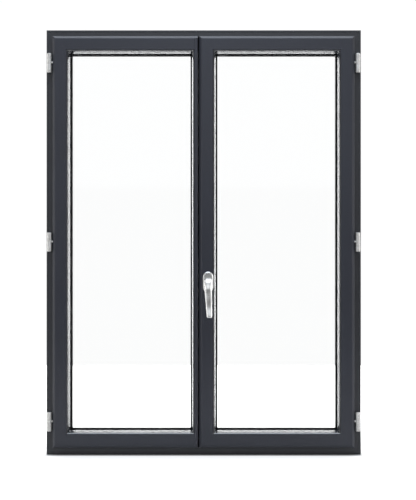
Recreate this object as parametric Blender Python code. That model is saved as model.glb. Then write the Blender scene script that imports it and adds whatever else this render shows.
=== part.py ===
"""Two-leaf inward-opening casement window in slim aluminium bars, with its hinges, glazing and lock.

Metres, +Z up.  The room side is -Y and the weather side is +Y.  The origin is the middle of the
frame's underside: half way along the sill and half way through the frame's depth.
"""

import math

import bmesh
import bpy
from mathutils import Matrix, Vector

# The fixed frame.
WIDTH = 1.000
HEIGHT = 1.350
FRAME_DEPTH = 0.065
FRAME_FACE_WIDTH = 0.038
STOP_WIDTH = 0.017
STOP_DEPTH = 0.044
SILL_REBATE = (0.005, 0.003)
WALL = 0.0022
FIT = 0.0003

# How much of the frame shows round the closed leaves, and where the leaves meet.
SIDE_BORDER = 0.0225
HEAD_BORDER = 0.0218
SILL_BORDER = 0.0248
LEFT_EDGE_X = -0.0181
RIGHT_EDGE_X = -0.0138

# The leaf bars, measured from the lip's outer edge and from the leaf's front face.
LEAF_PROUD = 0.020
LEAF_DEPTH = 0.060
LIP_DEPTH = 0.016
LIP_WIDTH = 0.0275
LEAF_FACE_WIDTH = 0.044
SLIM_FACE_WIDTH = 0.0110
LIP_CHAMFER = (0.008, 0.006)
SLIM_CHAMFER = (0.003, 0.0025)
LEG_WIDTH = 0.0085
LEG_DEPTH = 0.010
EDGE_SETBACK = 0.003
EDGE_NOSE_DEPTH = 0.020

# Groove for the lock's faceplate and rods, and groove for the second leaf's bolts.
FACEPLATE_RECESS = (0.0033, 0.0227, 0.0393)
ROD_GROOVE = (0.014, 0.0245, 0.0375)
BOLT_GROOVE = (0.0086, 0.0242, 0.0358)

# Glazing.
BEAD_WIDTH = 0.0088
BEAD_NOSE = 0.0012
BEAD_FOOT = 0.001
BEAD_DEPTH = 0.0242
PANE_FRONT = 0.0275
PANE = 0.004
CAVITY = 0.012
PANE_CLEARANCE = 0.0025
SIGHT_RUBBER = 0.0042
RUBBER_UNDER_BEAD = 0.004
OUTER_RUBBER = (0.004, 0.005)
SPACER_INSET = 0.0065

# Hinges.
HINGE_X = 0.489
HINGE_PROUD = 0.010
HINGE_HEIGHTS = (("bottom", 0.1065), ("middle", 0.676), ("top", 1.2437))
KNUCKLE_RADIUS = 0.007
KNUCKLE_TOP = 0.0300
KNUCKLE_JOINT = -0.0042
KNUCKLE_EDGE = 0.0008
PIN_RADIUS = 0.004
PIN_TOP = 0.019
PIN_CLEARANCE = 0.002
BORE_RADIUS = 0.0042
LEAF_STEM = (0.0027, 0.0015)
FRAME_STEM = (0.004, -0.017)

# Handle.
SPINDLE_X = 0.0142
SPINDLE_Z = 0.550
SPINDLE_SIDE = 0.007
ROSETTE = (0.032, 0.065, 0.0097)
ROSETTE_EDGE = 0.0025
NECK_RADIUS = 0.0077
NECK_HOLE = 0.0083
SPINDLE_HOLE = 0.008
SPINDLE_ENDS = (-0.0027, 0.036)
LEVER_LENGTH = 0.110
LEVER_SIDES = 12
LEVER_BEND = (0.038, 0.0135)
LEVER_HEAD = (0.0215, 0.024)
LEVER_GRIP = (0.0215, 0.013)
LEVER_FOOT = (0.016, 0.010)
LEVER_TIP = (0.0125, 0.0065)
BEND_STEPS = 5
GRIP_STEPS = 5

# Lock.
GEARBOX_HALF = 0.050
GEARBOX_HALF_DEPTH = 0.006
GEARBOX_CORNER = 0.008
GEARBOX_HUB_HOLE = 0.0054
FACEPLATE_END_GAP = 0.003
ROD_STARTS = (0.0025, -0.0355)
ROD_THICKNESS = 0.0068
ROD_WIDTH = 0.012
ROD_REACH = 0.0085
BOLT_LENGTH = 0.220
TIP = 0.002
KEEP_THICKNESS = 0.0078
KEEP_DEPTHS = (0.003, 0.020, 0.030)
CUT_MARGIN = 0.010

# Rubbers on the lip's back and in the meeting stile, and the caps over the sill's drain slots.
LIP_RUBBER_INSET = 0.004
LIP_RUBBER_WIDTH = 0.006
MEETING_RUBBER_DEPTHS = (0.0115, 0.0195)
DRAIN_CAP_X = 0.33
DRAIN_CAP_Z = 0.014
DRAIN_CAP_HALF = 0.020

frame_face = -FRAME_DEPTH / 2
leaf_front = frame_face - LEAF_PROUD
leaf_top = HEIGHT - HEAD_BORDER
leaf_bottom = SILL_BORDER
leaf_side = WIDTH / 2 - SIDE_BORDER
core_top = leaf_top - LIP_WIDTH
core_bottom = leaf_bottom + LIP_WIDTH

for old in list(bpy.data.objects):
    bpy.data.objects.remove(old)


def finish(name, colour, roughness, metallic=0.0, alpha=1.0):
    """One Principled material."""
    made = bpy.data.materials.new(name)
    made.use_nodes = True
    shader = made.node_tree.nodes["Principled BSDF"]
    shader.inputs["Base Color"].default_value = (*colour, 1.0)
    shader.inputs["Roughness"].default_value = roughness
    shader.inputs["Metallic"].default_value = metallic
    shader.inputs["Alpha"].default_value = alpha
    return made


frame_paint = finish("frame_paint", (0.045, 0.048, 0.056), 0.45)
leaf_paint = finish("leaf_paint", (0.048, 0.053, 0.062), 0.40)
bead_paint = finish("bead_paint", (0.055, 0.060, 0.068), 0.30)
black_rubber = finish("black_rubber", (0.010, 0.010, 0.011), 0.70)
clear_glass = finish("clear_glass", (0.93, 0.96, 0.95), 0.02, 0.0, 0.15)
spacer_metal = finish("spacer_metal", (0.62, 0.63, 0.64), 0.35, 1.0)
hinge_metal = finish("hinge_metal", (0.72, 0.71, 0.69), 0.28, 1.0)
handle_metal = finish("handle_metal", (0.80, 0.80, 0.79), 0.22, 1.0)
zinc_steel = finish("zinc_steel", (0.58, 0.58, 0.57), 0.38, 1.0)
black_plastic = finish("black_plastic", (0.020, 0.020, 0.022), 0.50)


def hinge_line(name, x):
    """The empty that a leaf's pieces hang on, on the hinge axis."""
    line = bpy.data.objects.new(name, None)
    line.location = (x, frame_face - HINGE_PROUD, 0.0)
    bpy.context.collection.objects.link(line)
    return line


left_line = hinge_line("left_hinge_line", -HINGE_X)
right_line = hinge_line("right_hinge_line", HINGE_X)


def place(name, bm, material, at=(0.0, 0.0, 0.0), parent=None, smooth=False):
    """A mesh made into an object whose own origin is at the given point."""
    bmesh.ops.recalc_face_normals(bm, faces=bm.faces[:])
    mesh = bpy.data.meshes.new(name)
    bm.to_mesh(mesh)
    bm.free()
    if smooth:
        mesh.shade_smooth()
        mesh.set_sharp_from_angle(angle=math.radians(35))
    mesh.materials.append(material)
    obj = bpy.data.objects.new(name, mesh)
    bpy.context.collection.objects.link(obj)
    obj.location = Vector(at) - (parent.location if parent else Vector())
    obj.parent = parent
    return obj


def cutter(name, bm, at=(0.0, 0.0, 0.0), parent=None):
    """A hidden shape for a Boolean."""
    obj = place(name, bm, black_plastic, at, parent)
    obj.hide_render = True
    obj.display_type = "WIRE"
    return obj


def combine(obj, other, operation):
    step = obj.modifiers.new(other.name, "BOOLEAN")
    step.operation = operation
    step.solver = "EXACT"
    step.object = other


def block(low, high):
    """A rectangular block between two corners."""
    bm = bmesh.new()
    size = Vector(high) - Vector(low)
    middle = (Vector(high) + Vector(low)) / 2
    bmesh.ops.create_cube(bm, size=1.0, matrix=Matrix.Translation(middle) @ Matrix.Diagonal((*size, 1.0)))
    return bm


def drum(radius, low, high, axis="Z", sides=24):
    """A round bar along one axis, centred on it."""
    bm = bmesh.new()
    bmesh.ops.create_cone(
        bm, cap_ends=True, segments=sides, radius1=radius, radius2=radius, depth=high - low,
        matrix=Matrix.Translation((0.0, 0.0, (high + low) / 2)),
    )
    turn = {"X": Matrix.Rotation(math.pi / 2, 4, "Y"), "Y": Matrix.Rotation(-math.pi / 2, 4, "X")}
    if axis in turn:
        bmesh.ops.transform(bm, matrix=turn[axis], verts=bm.verts[:])
    return bm


def bar(outline, holes, start, end, start_slope=1.0, end_slope=1.0):
    """A hollow bar along Z.  An end's slope is how far it steps in per metre of x: 1 is a mitre."""
    bm = bmesh.new()
    for loop in (outline, *holes):
        ring = [bm.verts.new((x, y, 0.0)) for x, y in loop]
        for a, b in zip(ring, ring[1:] + ring[:1]):
            bm.edges.new((a, b))
    bmesh.ops.triangle_fill(bm, use_beauty=True, use_dissolve=False, edges=bm.edges[:])
    near = bm.verts[:]
    made = bmesh.ops.extrude_face_region(bm, geom=bm.faces[:])["geom"]
    far = [item for item in made if isinstance(item, bmesh.types.BMVert)]
    for vert in near:
        vert.co.z = start + start_slope * vert.co.x
    for vert in far:
        vert.co.z = end - end_slope * vert.co.x
    return bm


# Which way a bar's width (local x) and length (local z) run on each side of a rectangle.
SIDES = {
    "left": Matrix(((1, 0, 0, 0), (0, 1, 0, 0), (0, 0, 1, 0), (0, 0, 0, 1))),
    "right": Matrix(((-1, 0, 0, 0), (0, 1, 0, 0), (0, 0, 1, 0), (0, 0, 0, 1))),
    "top": Matrix(((0, 0, 1, 0), (0, 1, 0, 0), (-1, 0, 0, 0), (0, 0, 0, 1))),
    "bottom": Matrix(((0, 0, 1, 0), (0, 1, 0, 0), (1, 0, 0, 0), (0, 0, 0, 1))),
}


def side_bar(name, bm, side, corner, material, parent=None):
    """A bar turned to lie along one side, its origin on the outer corner where it starts."""
    bmesh.ops.transform(bm, matrix=SIDES[side], verts=bm.verts[:])
    return place(name, bm, material, corner, parent)


def ring(outer_low, outer_high, width, y_low, y_high):
    """A flat rectangular ring: outer corners (x, z), the width of its sides, and its depth."""
    bm = bmesh.new()
    loops = []
    for inset, y in ((0.0, y_low), (width, y_low), (width, y_high), (0.0, y_high)):
        low_x, low_z = outer_low[0] + inset, outer_low[1] + inset
        high_x, high_z = outer_high[0] - inset, outer_high[1] - inset
        corners = ((low_x, low_z), (high_x, low_z), (high_x, high_z), (low_x, high_z))
        loops.append([bm.verts.new((x, y, z)) for x, z in corners])
    for a, b in zip(loops, loops[1:] + loops[:1]):
        for i in range(4):
            j = (i + 1) % 4
            bm.faces.new((a[i], a[j], b[j], b[i]))
    return bm


# ---- Fixed frame: four mitred bars ----
inner = FRAME_FACE_WIDTH
stop = FRAME_FACE_WIDTH + STOP_WIDTH
frame_hole = [
    (WALL, WALL + SILL_REBATE[1]),
    (inner - WALL, WALL + SILL_REBATE[1]),
    (inner - WALL, STOP_DEPTH + WALL),
    (stop - WALL, STOP_DEPTH + WALL),
    (stop - WALL, FRAME_DEPTH - WALL),
    (WALL, FRAME_DEPTH - WALL),
]
frame_outline = [
    (0.0, 0.0), (inner, 0.0), (inner, STOP_DEPTH), (stop, STOP_DEPTH), (stop, FRAME_DEPTH), (0.0, FRAME_DEPTH)
]
sill_outline = [(0.0, SILL_REBATE[1]), SILL_REBATE, (SILL_REBATE[0], 0.0), *frame_outline[1:]]
half = WIDTH / 2
for name, outline, side, corner, length in (
    ("frame_jamb_left", frame_outline, "left", (-half, frame_face, 0.0), HEIGHT),
    ("frame_jamb_right", frame_outline, "right", (half, frame_face, 0.0), HEIGHT),
    ("frame_head", frame_outline, "top", (-half, frame_face, HEIGHT), WIDTH),
    ("frame_sill", sill_outline, "bottom", (-half, frame_face, 0.0), WIDTH),
):
    side_bar(name, bar(outline, [frame_hole], FIT, length - FIT), side, corner, frame_paint)

rubber_low = stop - 0.0005 - 0.0035
stop_rubber = ring(
    (-half + rubber_low, rubber_low), (half - rubber_low, HEIGHT - rubber_low), 0.0035,
    frame_face + STOP_DEPTH - 0.0034, frame_face + STOP_DEPTH - FIT,
)
place("frame_stop_gasket", stop_rubber, black_rubber)


# ---- Leaf bars: outer ones with a lip, the lock stile and the slim meeting stile ----
def leg_points(face_width):
    """The bar's glass side, from its front face back to the leg behind the glass."""
    leg_front = LEAF_DEPTH - LEG_DEPTH
    return [
        (face_width, 0.0), (face_width, leg_front),
        (face_width + LEG_WIDTH, leg_front), (face_width + LEG_WIDTH, LEAF_DEPTH),
    ]


def leg_hole(face_width):
    leg_front = LEAF_DEPTH - LEG_DEPTH + WALL
    return [
        (face_width - WALL, WALL), (face_width - WALL, leg_front),
        (face_width + LEG_WIDTH - WALL, leg_front), (face_width + LEG_WIDTH - WALL, LEAF_DEPTH - WALL),
    ]


chamfer_u, chamfer_d = LIP_CHAMFER
nose_hole = [(WALL, chamfer_d + 0.0012), (chamfer_u + 0.001, WALL)]
lip_outline = [
    (0.0, chamfer_d), (chamfer_u, 0.0), *leg_points(LEAF_FACE_WIDTH),
    (LIP_WIDTH, LEAF_DEPTH), (LIP_WIDTH, LIP_DEPTH), (0.0, LIP_DEPTH),
]
lip_hole = [
    *nose_hole, *leg_hole(LEAF_FACE_WIDTH),
    (LIP_WIDTH + WALL, LEAF_DEPTH - WALL), (LIP_WIDTH + WALL, LIP_DEPTH - WALL), (WALL, LIP_DEPTH - WALL),
]
recess, recess_low, recess_high = FACEPLATE_RECESS
groove, groove_low, groove_high = ROD_GROOVE
recess_floor = EDGE_SETBACK + recess
lock_outline = [
    (0.0, chamfer_d), (chamfer_u, 0.0), *leg_points(LEAF_FACE_WIDTH), (EDGE_SETBACK, LEAF_DEPTH),
    (EDGE_SETBACK, recess_high), (recess_floor, recess_high), (recess_floor, groove_high),
    (groove, groove_high), (groove, groove_low), (recess_floor, groove_low), (recess_floor, recess_low),
    (EDGE_SETBACK, recess_low), (EDGE_SETBACK, EDGE_NOSE_DEPTH), (0.0, EDGE_NOSE_DEPTH),
]
lock_hole = [
    *nose_hole, *leg_hole(LEAF_FACE_WIDTH),
    (EDGE_SETBACK + WALL, LEAF_DEPTH - WALL), (EDGE_SETBACK + WALL, recess_high + WALL),
    (groove + WALL, recess_high + WALL), (groove + WALL, EDGE_NOSE_DEPTH - WALL),
    (WALL, EDGE_NOSE_DEPTH - WALL),
]
bolt_floor, bolt_low, bolt_high = BOLT_GROOVE
slim_u, slim_d = SLIM_CHAMFER
slim_outline = [
    (0.0, slim_d), (slim_u, 0.0), *leg_points(SLIM_FACE_WIDTH), (0.0, LEAF_DEPTH),
    (0.0, bolt_high), (bolt_floor, bolt_high), (bolt_floor, bolt_low), (0.0, bolt_low),
]
slim_front_hole = [
    (WALL, slim_d + 0.0012), (slim_u + 0.001, WALL), (SLIM_FACE_WIDTH - WALL, WALL),
    (SLIM_FACE_WIDTH - WALL, bolt_low - WALL), (WALL, bolt_low - WALL),
]
slim_back_hole = [
    (WALL, bolt_high + WALL), (SLIM_FACE_WIDTH - WALL, bolt_high + WALL), *leg_hole(SLIM_FACE_WIDTH)[1:],
    (WALL, LEAF_DEPTH - WALL),
]


def leaf_bars(hand, line, edge_x, outward, meeting_side):
    """Hinge stile and both rails of one leaf; the meeting stile differs and is made after."""
    hinge_side = "right" if outward > 0 else "left"
    leaf_height = leaf_top - leaf_bottom
    stile = bar(lip_outline, [lip_hole], FIT, leaf_height - FIT)
    corner = (outward * leaf_side, leaf_front, leaf_bottom)
    side_bar(f"{hand}_hinge_stile", stile, hinge_side, corner, leaf_paint, line)
    left_x = min(edge_x, outward * leaf_side)
    length = abs(outward * leaf_side - edge_x)
    slopes = {hinge_side: 1.0, meeting_side: 1.0 if hand == "right" else 0.0}
    rails = []
    for end, z in (("top", leaf_top), ("bottom", leaf_bottom)):
        rail = bar(lip_outline, [lip_hole], FIT, length - FIT, slopes["left"], slopes["right"])
        rails.append(side_bar(f"{hand}_{end}_rail", rail, end, (left_x, leaf_front, z), leaf_paint, line))
    return rails


leaf_bars("right", right_line, RIGHT_EDGE_X, 1, "left")
left_rails = leaf_bars("left", left_line, LEFT_EDGE_X, -1, "right")

lock_stile = side_bar(
    "right_lock_stile", bar(lock_outline, [lock_hole], FIT, leaf_top - leaf_bottom - FIT),
    "left", (RIGHT_EDGE_X, leaf_front, leaf_bottom), leaf_paint, right_line,
)
notch_front = leaf_front + LIP_DEPTH
for name, low_z, high_z in (
    ("lock_stile_top_notch", core_top, leaf_top + CUT_MARGIN),
    ("lock_stile_bottom_notch", leaf_bottom - CUT_MARGIN, core_bottom),
):
    low = (RIGHT_EDGE_X - CUT_MARGIN, notch_front, low_z)
    high = (RIGHT_EDGE_X + LIP_WIDTH, leaf_front + LEAF_DEPTH + CUT_MARGIN, high_z)
    combine(lock_stile, cutter(name, block(low, high)), "DIFFERENCE")
pocket = block(
    (RIGHT_EDGE_X + groove - 0.001, leaf_front + groove_low + 0.0002, SPINDLE_Z - GEARBOX_HALF - FIT),
    (RIGHT_EDGE_X + groove + WALL + 0.001, leaf_front + groove_high - 0.0002, SPINDLE_Z + GEARBOX_HALF + FIT),
)
combine(lock_stile, cutter("gearbox_pocket", pocket), "DIFFERENCE")
spindle_hole = drum(SPINDLE_HOLE, -CUT_MARGIN, CUT_MARGIN, "Y")
spindle_point = (SPINDLE_X, leaf_front, SPINDLE_Z)
combine(lock_stile, cutter("spindle_hole", spindle_hole, spindle_point), "DIFFERENCE")

# The slim stile runs between the rails' lips; each rail is cut back to pass it.
slim_inner_x = LEFT_EDGE_X - SLIM_FACE_WIDTH
slim_holes = [slim_front_hole, slim_back_hole]
slim_bar = bar(slim_outline, slim_holes, core_bottom - leaf_bottom, core_top - leaf_bottom, 0, 0)
slim_corner = (LEFT_EDGE_X, leaf_front, leaf_bottom)
slim_stile = side_bar("left_meeting_stile", slim_bar, "right", slim_corner, leaf_paint, left_line)
leg_reach = LEAF_FACE_WIDTH + LEG_WIDTH
far_back = leaf_front + LEAF_DEPTH + CUT_MARGIN
left_top_rail, left_bottom_rail = left_rails
for rail, end, sign, edge_z in (
    (left_top_rail, "top", -1, leaf_top),
    (left_bottom_rail, "bottom", 1, leaf_bottom),
):
    rail_cut = sorted((edge_z + sign * (LIP_WIDTH - FIT), edge_z + sign * (leg_reach + CUT_MARGIN)))
    low = (slim_inner_x - FIT, leaf_front - CUT_MARGIN, rail_cut[0])
    high = (LEFT_EDGE_X + CUT_MARGIN, far_back, rail_cut[1])
    combine(rail, cutter(f"left_{end}_rail_notch", block(low, high)), "DIFFERENCE")
    leg_cut = sorted((edge_z + sign * (leg_reach + FIT), edge_z))
    low = (slim_inner_x - LEG_WIDTH - CUT_MARGIN, leaf_front - CUT_MARGIN, leg_cut[0])
    high = (slim_inner_x, far_back, leg_cut[1])
    combine(slim_stile, cutter(f"meeting_stile_{end}_notch", block(low, high)), "DIFFERENCE")


# ---- Glazing: beads, rubbers, panes and spacer of each leaf ----
bead_outline = [
    (FIT, 0.0), (BEAD_NOSE, 0.0), (BEAD_WIDTH, BEAD_DEPTH - BEAD_FOOT),
    (BEAD_WIDTH, BEAD_DEPTH), (FIT, BEAD_DEPTH),
]


def glazing(hand, line, low_x, high_x):
    """Everything inside the leaf's bars, between the given faces of its stiles."""
    low_z = leaf_bottom + LEAF_FACE_WIDTH
    high_z = leaf_top - LEAF_FACE_WIDTH
    width, height = high_x - low_x, high_z - low_z
    for side, corner, length in (
        ("left", (low_x, leaf_front, low_z), height), ("right", (high_x, leaf_front, low_z), height),
        ("top", (low_x, leaf_front, high_z), width), ("bottom", (low_x, leaf_front, low_z), width),
    ):
        bead = bar(bead_outline, [], FIT, length - FIT)
        side_bar(f"{hand}_bead_{side}", bead, side, corner, bead_paint, line)
    centre = Vector(((low_x + high_x) / 2, leaf_front, (low_z + high_z) / 2))

    def rim(inset):
        return (-width / 2 + inset, -height / 2 + inset), (width / 2 - inset, height / 2 - inset)

    back = PANE_FRONT + 2 * PANE + CAVITY
    rubber_width = RUBBER_UNDER_BEAD + SIGHT_RUBBER
    inner_rubber = ring(
        *rim(BEAD_WIDTH - RUBBER_UNDER_BEAD), rubber_width, BEAD_DEPTH + FIT, PANE_FRONT - FIT
    )
    place(f"{hand}_inner_gasket", inner_rubber, black_rubber, centre, line)
    outer_inset, outer_width = OUTER_RUBBER
    outer_rubber = ring(*rim(outer_inset), outer_width, back + FIT, LEAF_DEPTH - LEG_DEPTH - FIT)
    place(f"{hand}_outer_gasket", outer_rubber, black_rubber, centre, line)
    (x0, z0), (x1, z1) = rim(PANE_CLEARANCE)
    front = PANE_FRONT
    for name, y in (("inner_pane", front), ("outer_pane", front + PANE + CAVITY)):
        place(f"{hand}_{name}", block((x0, y, z0), (x1, y + PANE, z1)), clear_glass, centre, line)
    spacer_width = BEAD_WIDTH + SIGHT_RUBBER - SPACER_INSET
    spacer = ring(*rim(SPACER_INSET), spacer_width, front + PANE + FIT, front + PANE + CAVITY - FIT)
    place(f"{hand}_spacer", spacer, spacer_metal, centre, line)


glass_side = leaf_side - LEAF_FACE_WIDTH
glazing("left", left_line, -glass_side, slim_inner_x)
glazing("right", right_line, RIGHT_EDGE_X + LEAF_FACE_WIDTH, glass_side)


# ---- Rubbers between leaf and frame, and between the leaves ----
def lip_rubber(name, line, hinge_x, edge_x):
    """A three-sided seal on the back of the lip: hinge side, top and bottom."""
    inset, width = LIP_RUBBER_INSET, LIP_RUBBER_WIDTH
    outward = 1 if hinge_x > 0 else -1
    outer_x, inner_x = hinge_x - outward * inset, hinge_x - outward * (inset + width)
    low_z, high_z = leaf_bottom + inset, leaf_top - inset
    outline = [
        (edge_x, low_z), (outer_x, low_z), (outer_x, high_z), (edge_x, high_z),
        (edge_x, high_z - width), (inner_x, high_z - width),
        (inner_x, low_z + width), (edge_x, low_z + width),
    ]
    bm = bmesh.new()
    front = leaf_front + LIP_DEPTH + FIT
    face = bm.faces.new([bm.verts.new((x, front, z)) for x, z in outline])
    made = bmesh.ops.extrude_face_region(bm, geom=[face])["geom"]
    depth = frame_face - FIT - front
    pushed = [v for v in made if isinstance(v, bmesh.types.BMVert)]
    bmesh.ops.translate(bm, vec=(0, depth, 0), verts=pushed)
    bmesh.ops.translate(bm, vec=-line.location, verts=bm.verts[:])
    place(name, bm, black_rubber, line.location, line)


lip_rubber("left_lip_gasket", left_line, -leaf_side, LEFT_EDGE_X - 0.001)
lip_rubber("right_lip_gasket", right_line, leaf_side, RIGHT_EDGE_X + 0.001)
meeting_front, meeting_back = MEETING_RUBBER_DEPTHS
meeting_low = Vector((LEFT_EDGE_X + FIT, leaf_front + meeting_front, leaf_bottom + FIT))
meeting_high = Vector((RIGHT_EDGE_X - FIT, leaf_front + meeting_back, leaf_top - FIT))
meeting_rubber = block(meeting_low - left_line.location, meeting_high - left_line.location)
place("meeting_gasket", meeting_rubber, black_rubber, left_line.location, left_line)


# ---- Hinges: three on each side ----
def turned(profile, sides=24):
    """A closed (radius, z) outline spun about Z; points on the axis close its ends."""
    bm = bmesh.new()
    verts = [bm.verts.new((radius, 0.0, z)) for radius, z in profile]
    edges = [bm.edges.new(pair) for pair in zip(verts, verts[1:])]
    bmesh.ops.spin(
        bm, geom=verts + edges, axis=(0, 0, 1), cent=(0, 0, 0), angle=2 * math.pi, steps=sides, use_merge=True
    )
    bmesh.ops.remove_doubles(bm, verts=bm.verts[:], dist=0.00001)
    return bm


def hinge(hand, level, x, z, line):
    """A lift-off hinge: the frame's knuckle carries the pin, the leaf's knuckle turns on it."""
    edge = KNUCKLE_EDGE
    at = (x, frame_face - HINGE_PROUD, z)
    bottom, joint, top, radius = -KNUCKLE_TOP, KNUCKLE_JOINT, KNUCKLE_TOP, KNUCKLE_RADIUS
    lower = turned([
        (0, bottom), (radius - edge, bottom), (radius, bottom + edge), (radius, joint - FIT),
        (PIN_RADIUS, joint - FIT), (PIN_RADIUS, PIN_TOP - edge), (PIN_RADIUS - edge, PIN_TOP), (0, PIN_TOP),
    ])
    lower_knuckle = place(f"{hand}_{level}_frame_knuckle", lower, hinge_metal, at, smooth=True)
    stem_radius, stem_z = FRAME_STEM
    stem_shape = drum(stem_radius, radius / 2, HINGE_PROUD - FIT, "Y", 16)
    stem = cutter(f"{hand}_{level}_frame_stem", stem_shape, (at[0], at[1], z + stem_z))
    combine(lower_knuckle, stem, "UNION")
    upper = turned([
        (0, PIN_TOP + PIN_CLEARANCE), (BORE_RADIUS, PIN_TOP + PIN_CLEARANCE), (BORE_RADIUS, joint),
        (radius, joint), (radius, top - edge), (radius - edge, top), (0, top),
    ])
    upper_knuckle = place(f"{hand}_{level}_leaf_knuckle", upper, hinge_metal, at, line, smooth=True)
    stem_radius, stem_z = LEAF_STEM
    reach = abs(x) - leaf_side - FIT
    root = (BORE_RADIUS + radius) / 2
    low, high = (-reach, -root) if x > 0 else (root, reach)
    stem_shape = drum(stem_radius, low, high, "X", 16)
    stem = cutter(f"{hand}_{level}_leaf_stem", stem_shape, (at[0], at[1], z + stem_z), line)
    combine(upper_knuckle, stem, "UNION")


for hand, x, line in (("left", -HINGE_X, left_line), ("right", HINGE_X, right_line)):
    for level, z in HINGE_HEIGHTS:
        hinge(hand, level, x, z, line)


# ---- Handle: rosette, lever and square spindle ----
def circle(radius, steps, centre=(0.0, 0.0), start=0.0, sweep=2 * math.pi):
    """Points round an arc, the last one left out on a full turn."""
    count = steps if sweep == 2 * math.pi else steps + 1
    angles = [start + sweep * i / steps for i in range(count)]
    return [(centre[0] + radius * math.cos(a), centre[1] + radius * math.sin(a)) for a in angles]


rose_width, rose_height, rose_depth = ROSETTE
straight = (rose_height - rose_width) / 2
rose_outline = [
    *circle(rose_width / 2, 10, (0, straight), 0, math.pi),
    *circle(rose_width / 2, 10, (0, -straight), math.pi, math.pi),
]
rosette = bar(rose_outline, [circle(NECK_HOLE, 20)], FIT, rose_depth, 0, 0)
front_verts = {v for v in rosette.verts if v.co.z > rose_depth - FIT and v.co.xy.length > 1.2 * NECK_HOLE}
front_edges = [e for e in rosette.edges if front_verts.issuperset(e.verts)]
rim_edges = [e for e in front_edges if len({round(f.normal.z, 2) for f in e.link_faces}) == 2]
bmesh.ops.bevel(
    rosette, geom=rim_edges, offset=ROSETTE_EDGE, segments=2, profile=0.5, affect="EDGES", material=-1
)
stand_up = Matrix.Rotation(math.pi / 2, 4, "X")
bmesh.ops.transform(rosette, matrix=stand_up, verts=rosette.verts[:])
place("handle_rosette", rosette, handle_metal, spindle_point, right_line)


def lever_ring(bm, centre, lean, width, thickness):
    """One rounded section of the lever, its plane leaned from upright towards level."""
    points = []
    for i in range(LEVER_SIDES):
        angle = 2 * math.pi * i / LEVER_SIDES
        c, s = math.cos(angle), math.sin(angle)
        across = width / 2 * math.copysign(abs(c) ** 0.8, c)
        through = thickness / 2 * math.copysign(abs(s) ** 0.8, s)
        y = centre[1] - through * math.sin(lean)
        z = centre[2] + through * math.cos(lean)
        points.append(bm.verts.new((centre[0] + across, y, z)))
    return points


lever = bmesh.new()
sections = [
    lever_ring(lever, (0, -0.003, 0), 0, 2 * NECK_RADIUS, 2 * NECK_RADIUS),
    lever_ring(lever, (0, -0.0105, 0), 0, 2 * NECK_RADIUS, 2 * NECK_RADIUS),
    lever_ring(lever, (0.001, -0.024, 0), 0, 0.019, 0.020),
]
bend_out, bend_down = LEVER_BEND
for step in range(BEND_STEPS + 1):
    part = step / BEND_STEPS
    lean = part * math.pi / 2
    thick = LEVER_HEAD[1] + (LEVER_GRIP[1] - LEVER_HEAD[1]) * part
    reach = thick / 2 + 0.0015
    centre_x = 0.001 + 0.0016 * part
    centre = (centre_x, -bend_out - reach * math.sin(lean), -bend_down + reach * math.cos(lean))
    sections.append(lever_ring(lever, centre, lean, LEVER_HEAD[0], thick))
grip_length = LEVER_LENGTH - 0.002 - bend_down
for step in range(1, GRIP_STEPS + 1):
    part = step / GRIP_STEPS
    bow = 0.003 * math.sin(part * math.pi / 2)
    centre = (0.0026 + 0.0029 * part, -bend_out - 0.008 - bow, -bend_down - grip_length * part)
    wide = LEVER_GRIP[0] + (LEVER_FOOT[0] - LEVER_GRIP[0]) * part
    thick = LEVER_GRIP[1] + (LEVER_FOOT[1] - LEVER_GRIP[1]) * part
    sections.append(lever_ring(lever, centre, math.pi / 2, wide, thick))
tip_centre = (0.0055, -bend_out - 0.011, -LEVER_LENGTH)
sections.append(lever_ring(lever, tip_centre, math.pi / 2, *LEVER_TIP))
for a, b in zip(sections, sections[1:]):
    for i in range(LEVER_SIDES):
        j = (i + 1) % LEVER_SIDES
        lever.faces.new((a[i], a[j], b[j], b[i]))
lever.faces.new(sections[0])
lever.faces.new(sections[-1])
place("handle_lever", lever, handle_metal, spindle_point, right_line, smooth=True)

half_side = SPINDLE_SIDE / 2
spindle_front, spindle_back = SPINDLE_ENDS
spindle = block((-half_side, spindle_front, -half_side), (half_side, spindle_back, half_side))
place("handle_spindle", spindle, zinc_steel, spindle_point, right_line)

# ---- Lock: gearbox, faceplate, two driven rods, two hand bolts and the keeps ----
gear_y = leaf_front + (groove_low + groove_high) / 2
case_low_x = RIGHT_EDGE_X + groove + FIT - SPINDLE_X
case_high_x = RIGHT_EDGE_X + LEAF_FACE_WIDTH - WALL - FIT - SPINDLE_X
back_half = GEARBOX_HALF - GEARBOX_CORNER
case_outline = [
    (case_low_x, -GEARBOX_HALF), (case_high_x, -back_half),
    (case_high_x, back_half), (case_low_x, GEARBOX_HALF),
]
hub_hole = circle(GEARBOX_HUB_HOLE, 16)
case = bar(case_outline, [hub_hole], -GEARBOX_HALF_DEPTH, GEARBOX_HALF_DEPTH, 0, 0)
bmesh.ops.transform(case, matrix=stand_up, verts=case.verts[:])
place("gearbox_case", case, zinc_steel, (SPINDLE_X, gear_y, SPINDLE_Z), right_line)

plate_x = RIGHT_EDGE_X + EDGE_SETBACK + FIT
faceplate = block(
    (0, leaf_front + recess_low + FIT, core_bottom + FACEPLATE_END_GAP),
    (recess - 2 * FIT, leaf_front + recess_high - FIT, core_top - FACEPLATE_END_GAP),
)
bmesh.ops.translate(faceplate, vec=(0, -right_line.location.y, 0), verts=faceplate.verts[:])
place("lock_faceplate", faceplate, zinc_steel, (plate_x, right_line.location.y, 0), right_line)

rod_x = RIGHT_EDGE_X + groove - FIT - ROD_THICKNESS
bolt_x = LEFT_EDGE_X - bolt_floor + FIT


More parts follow.
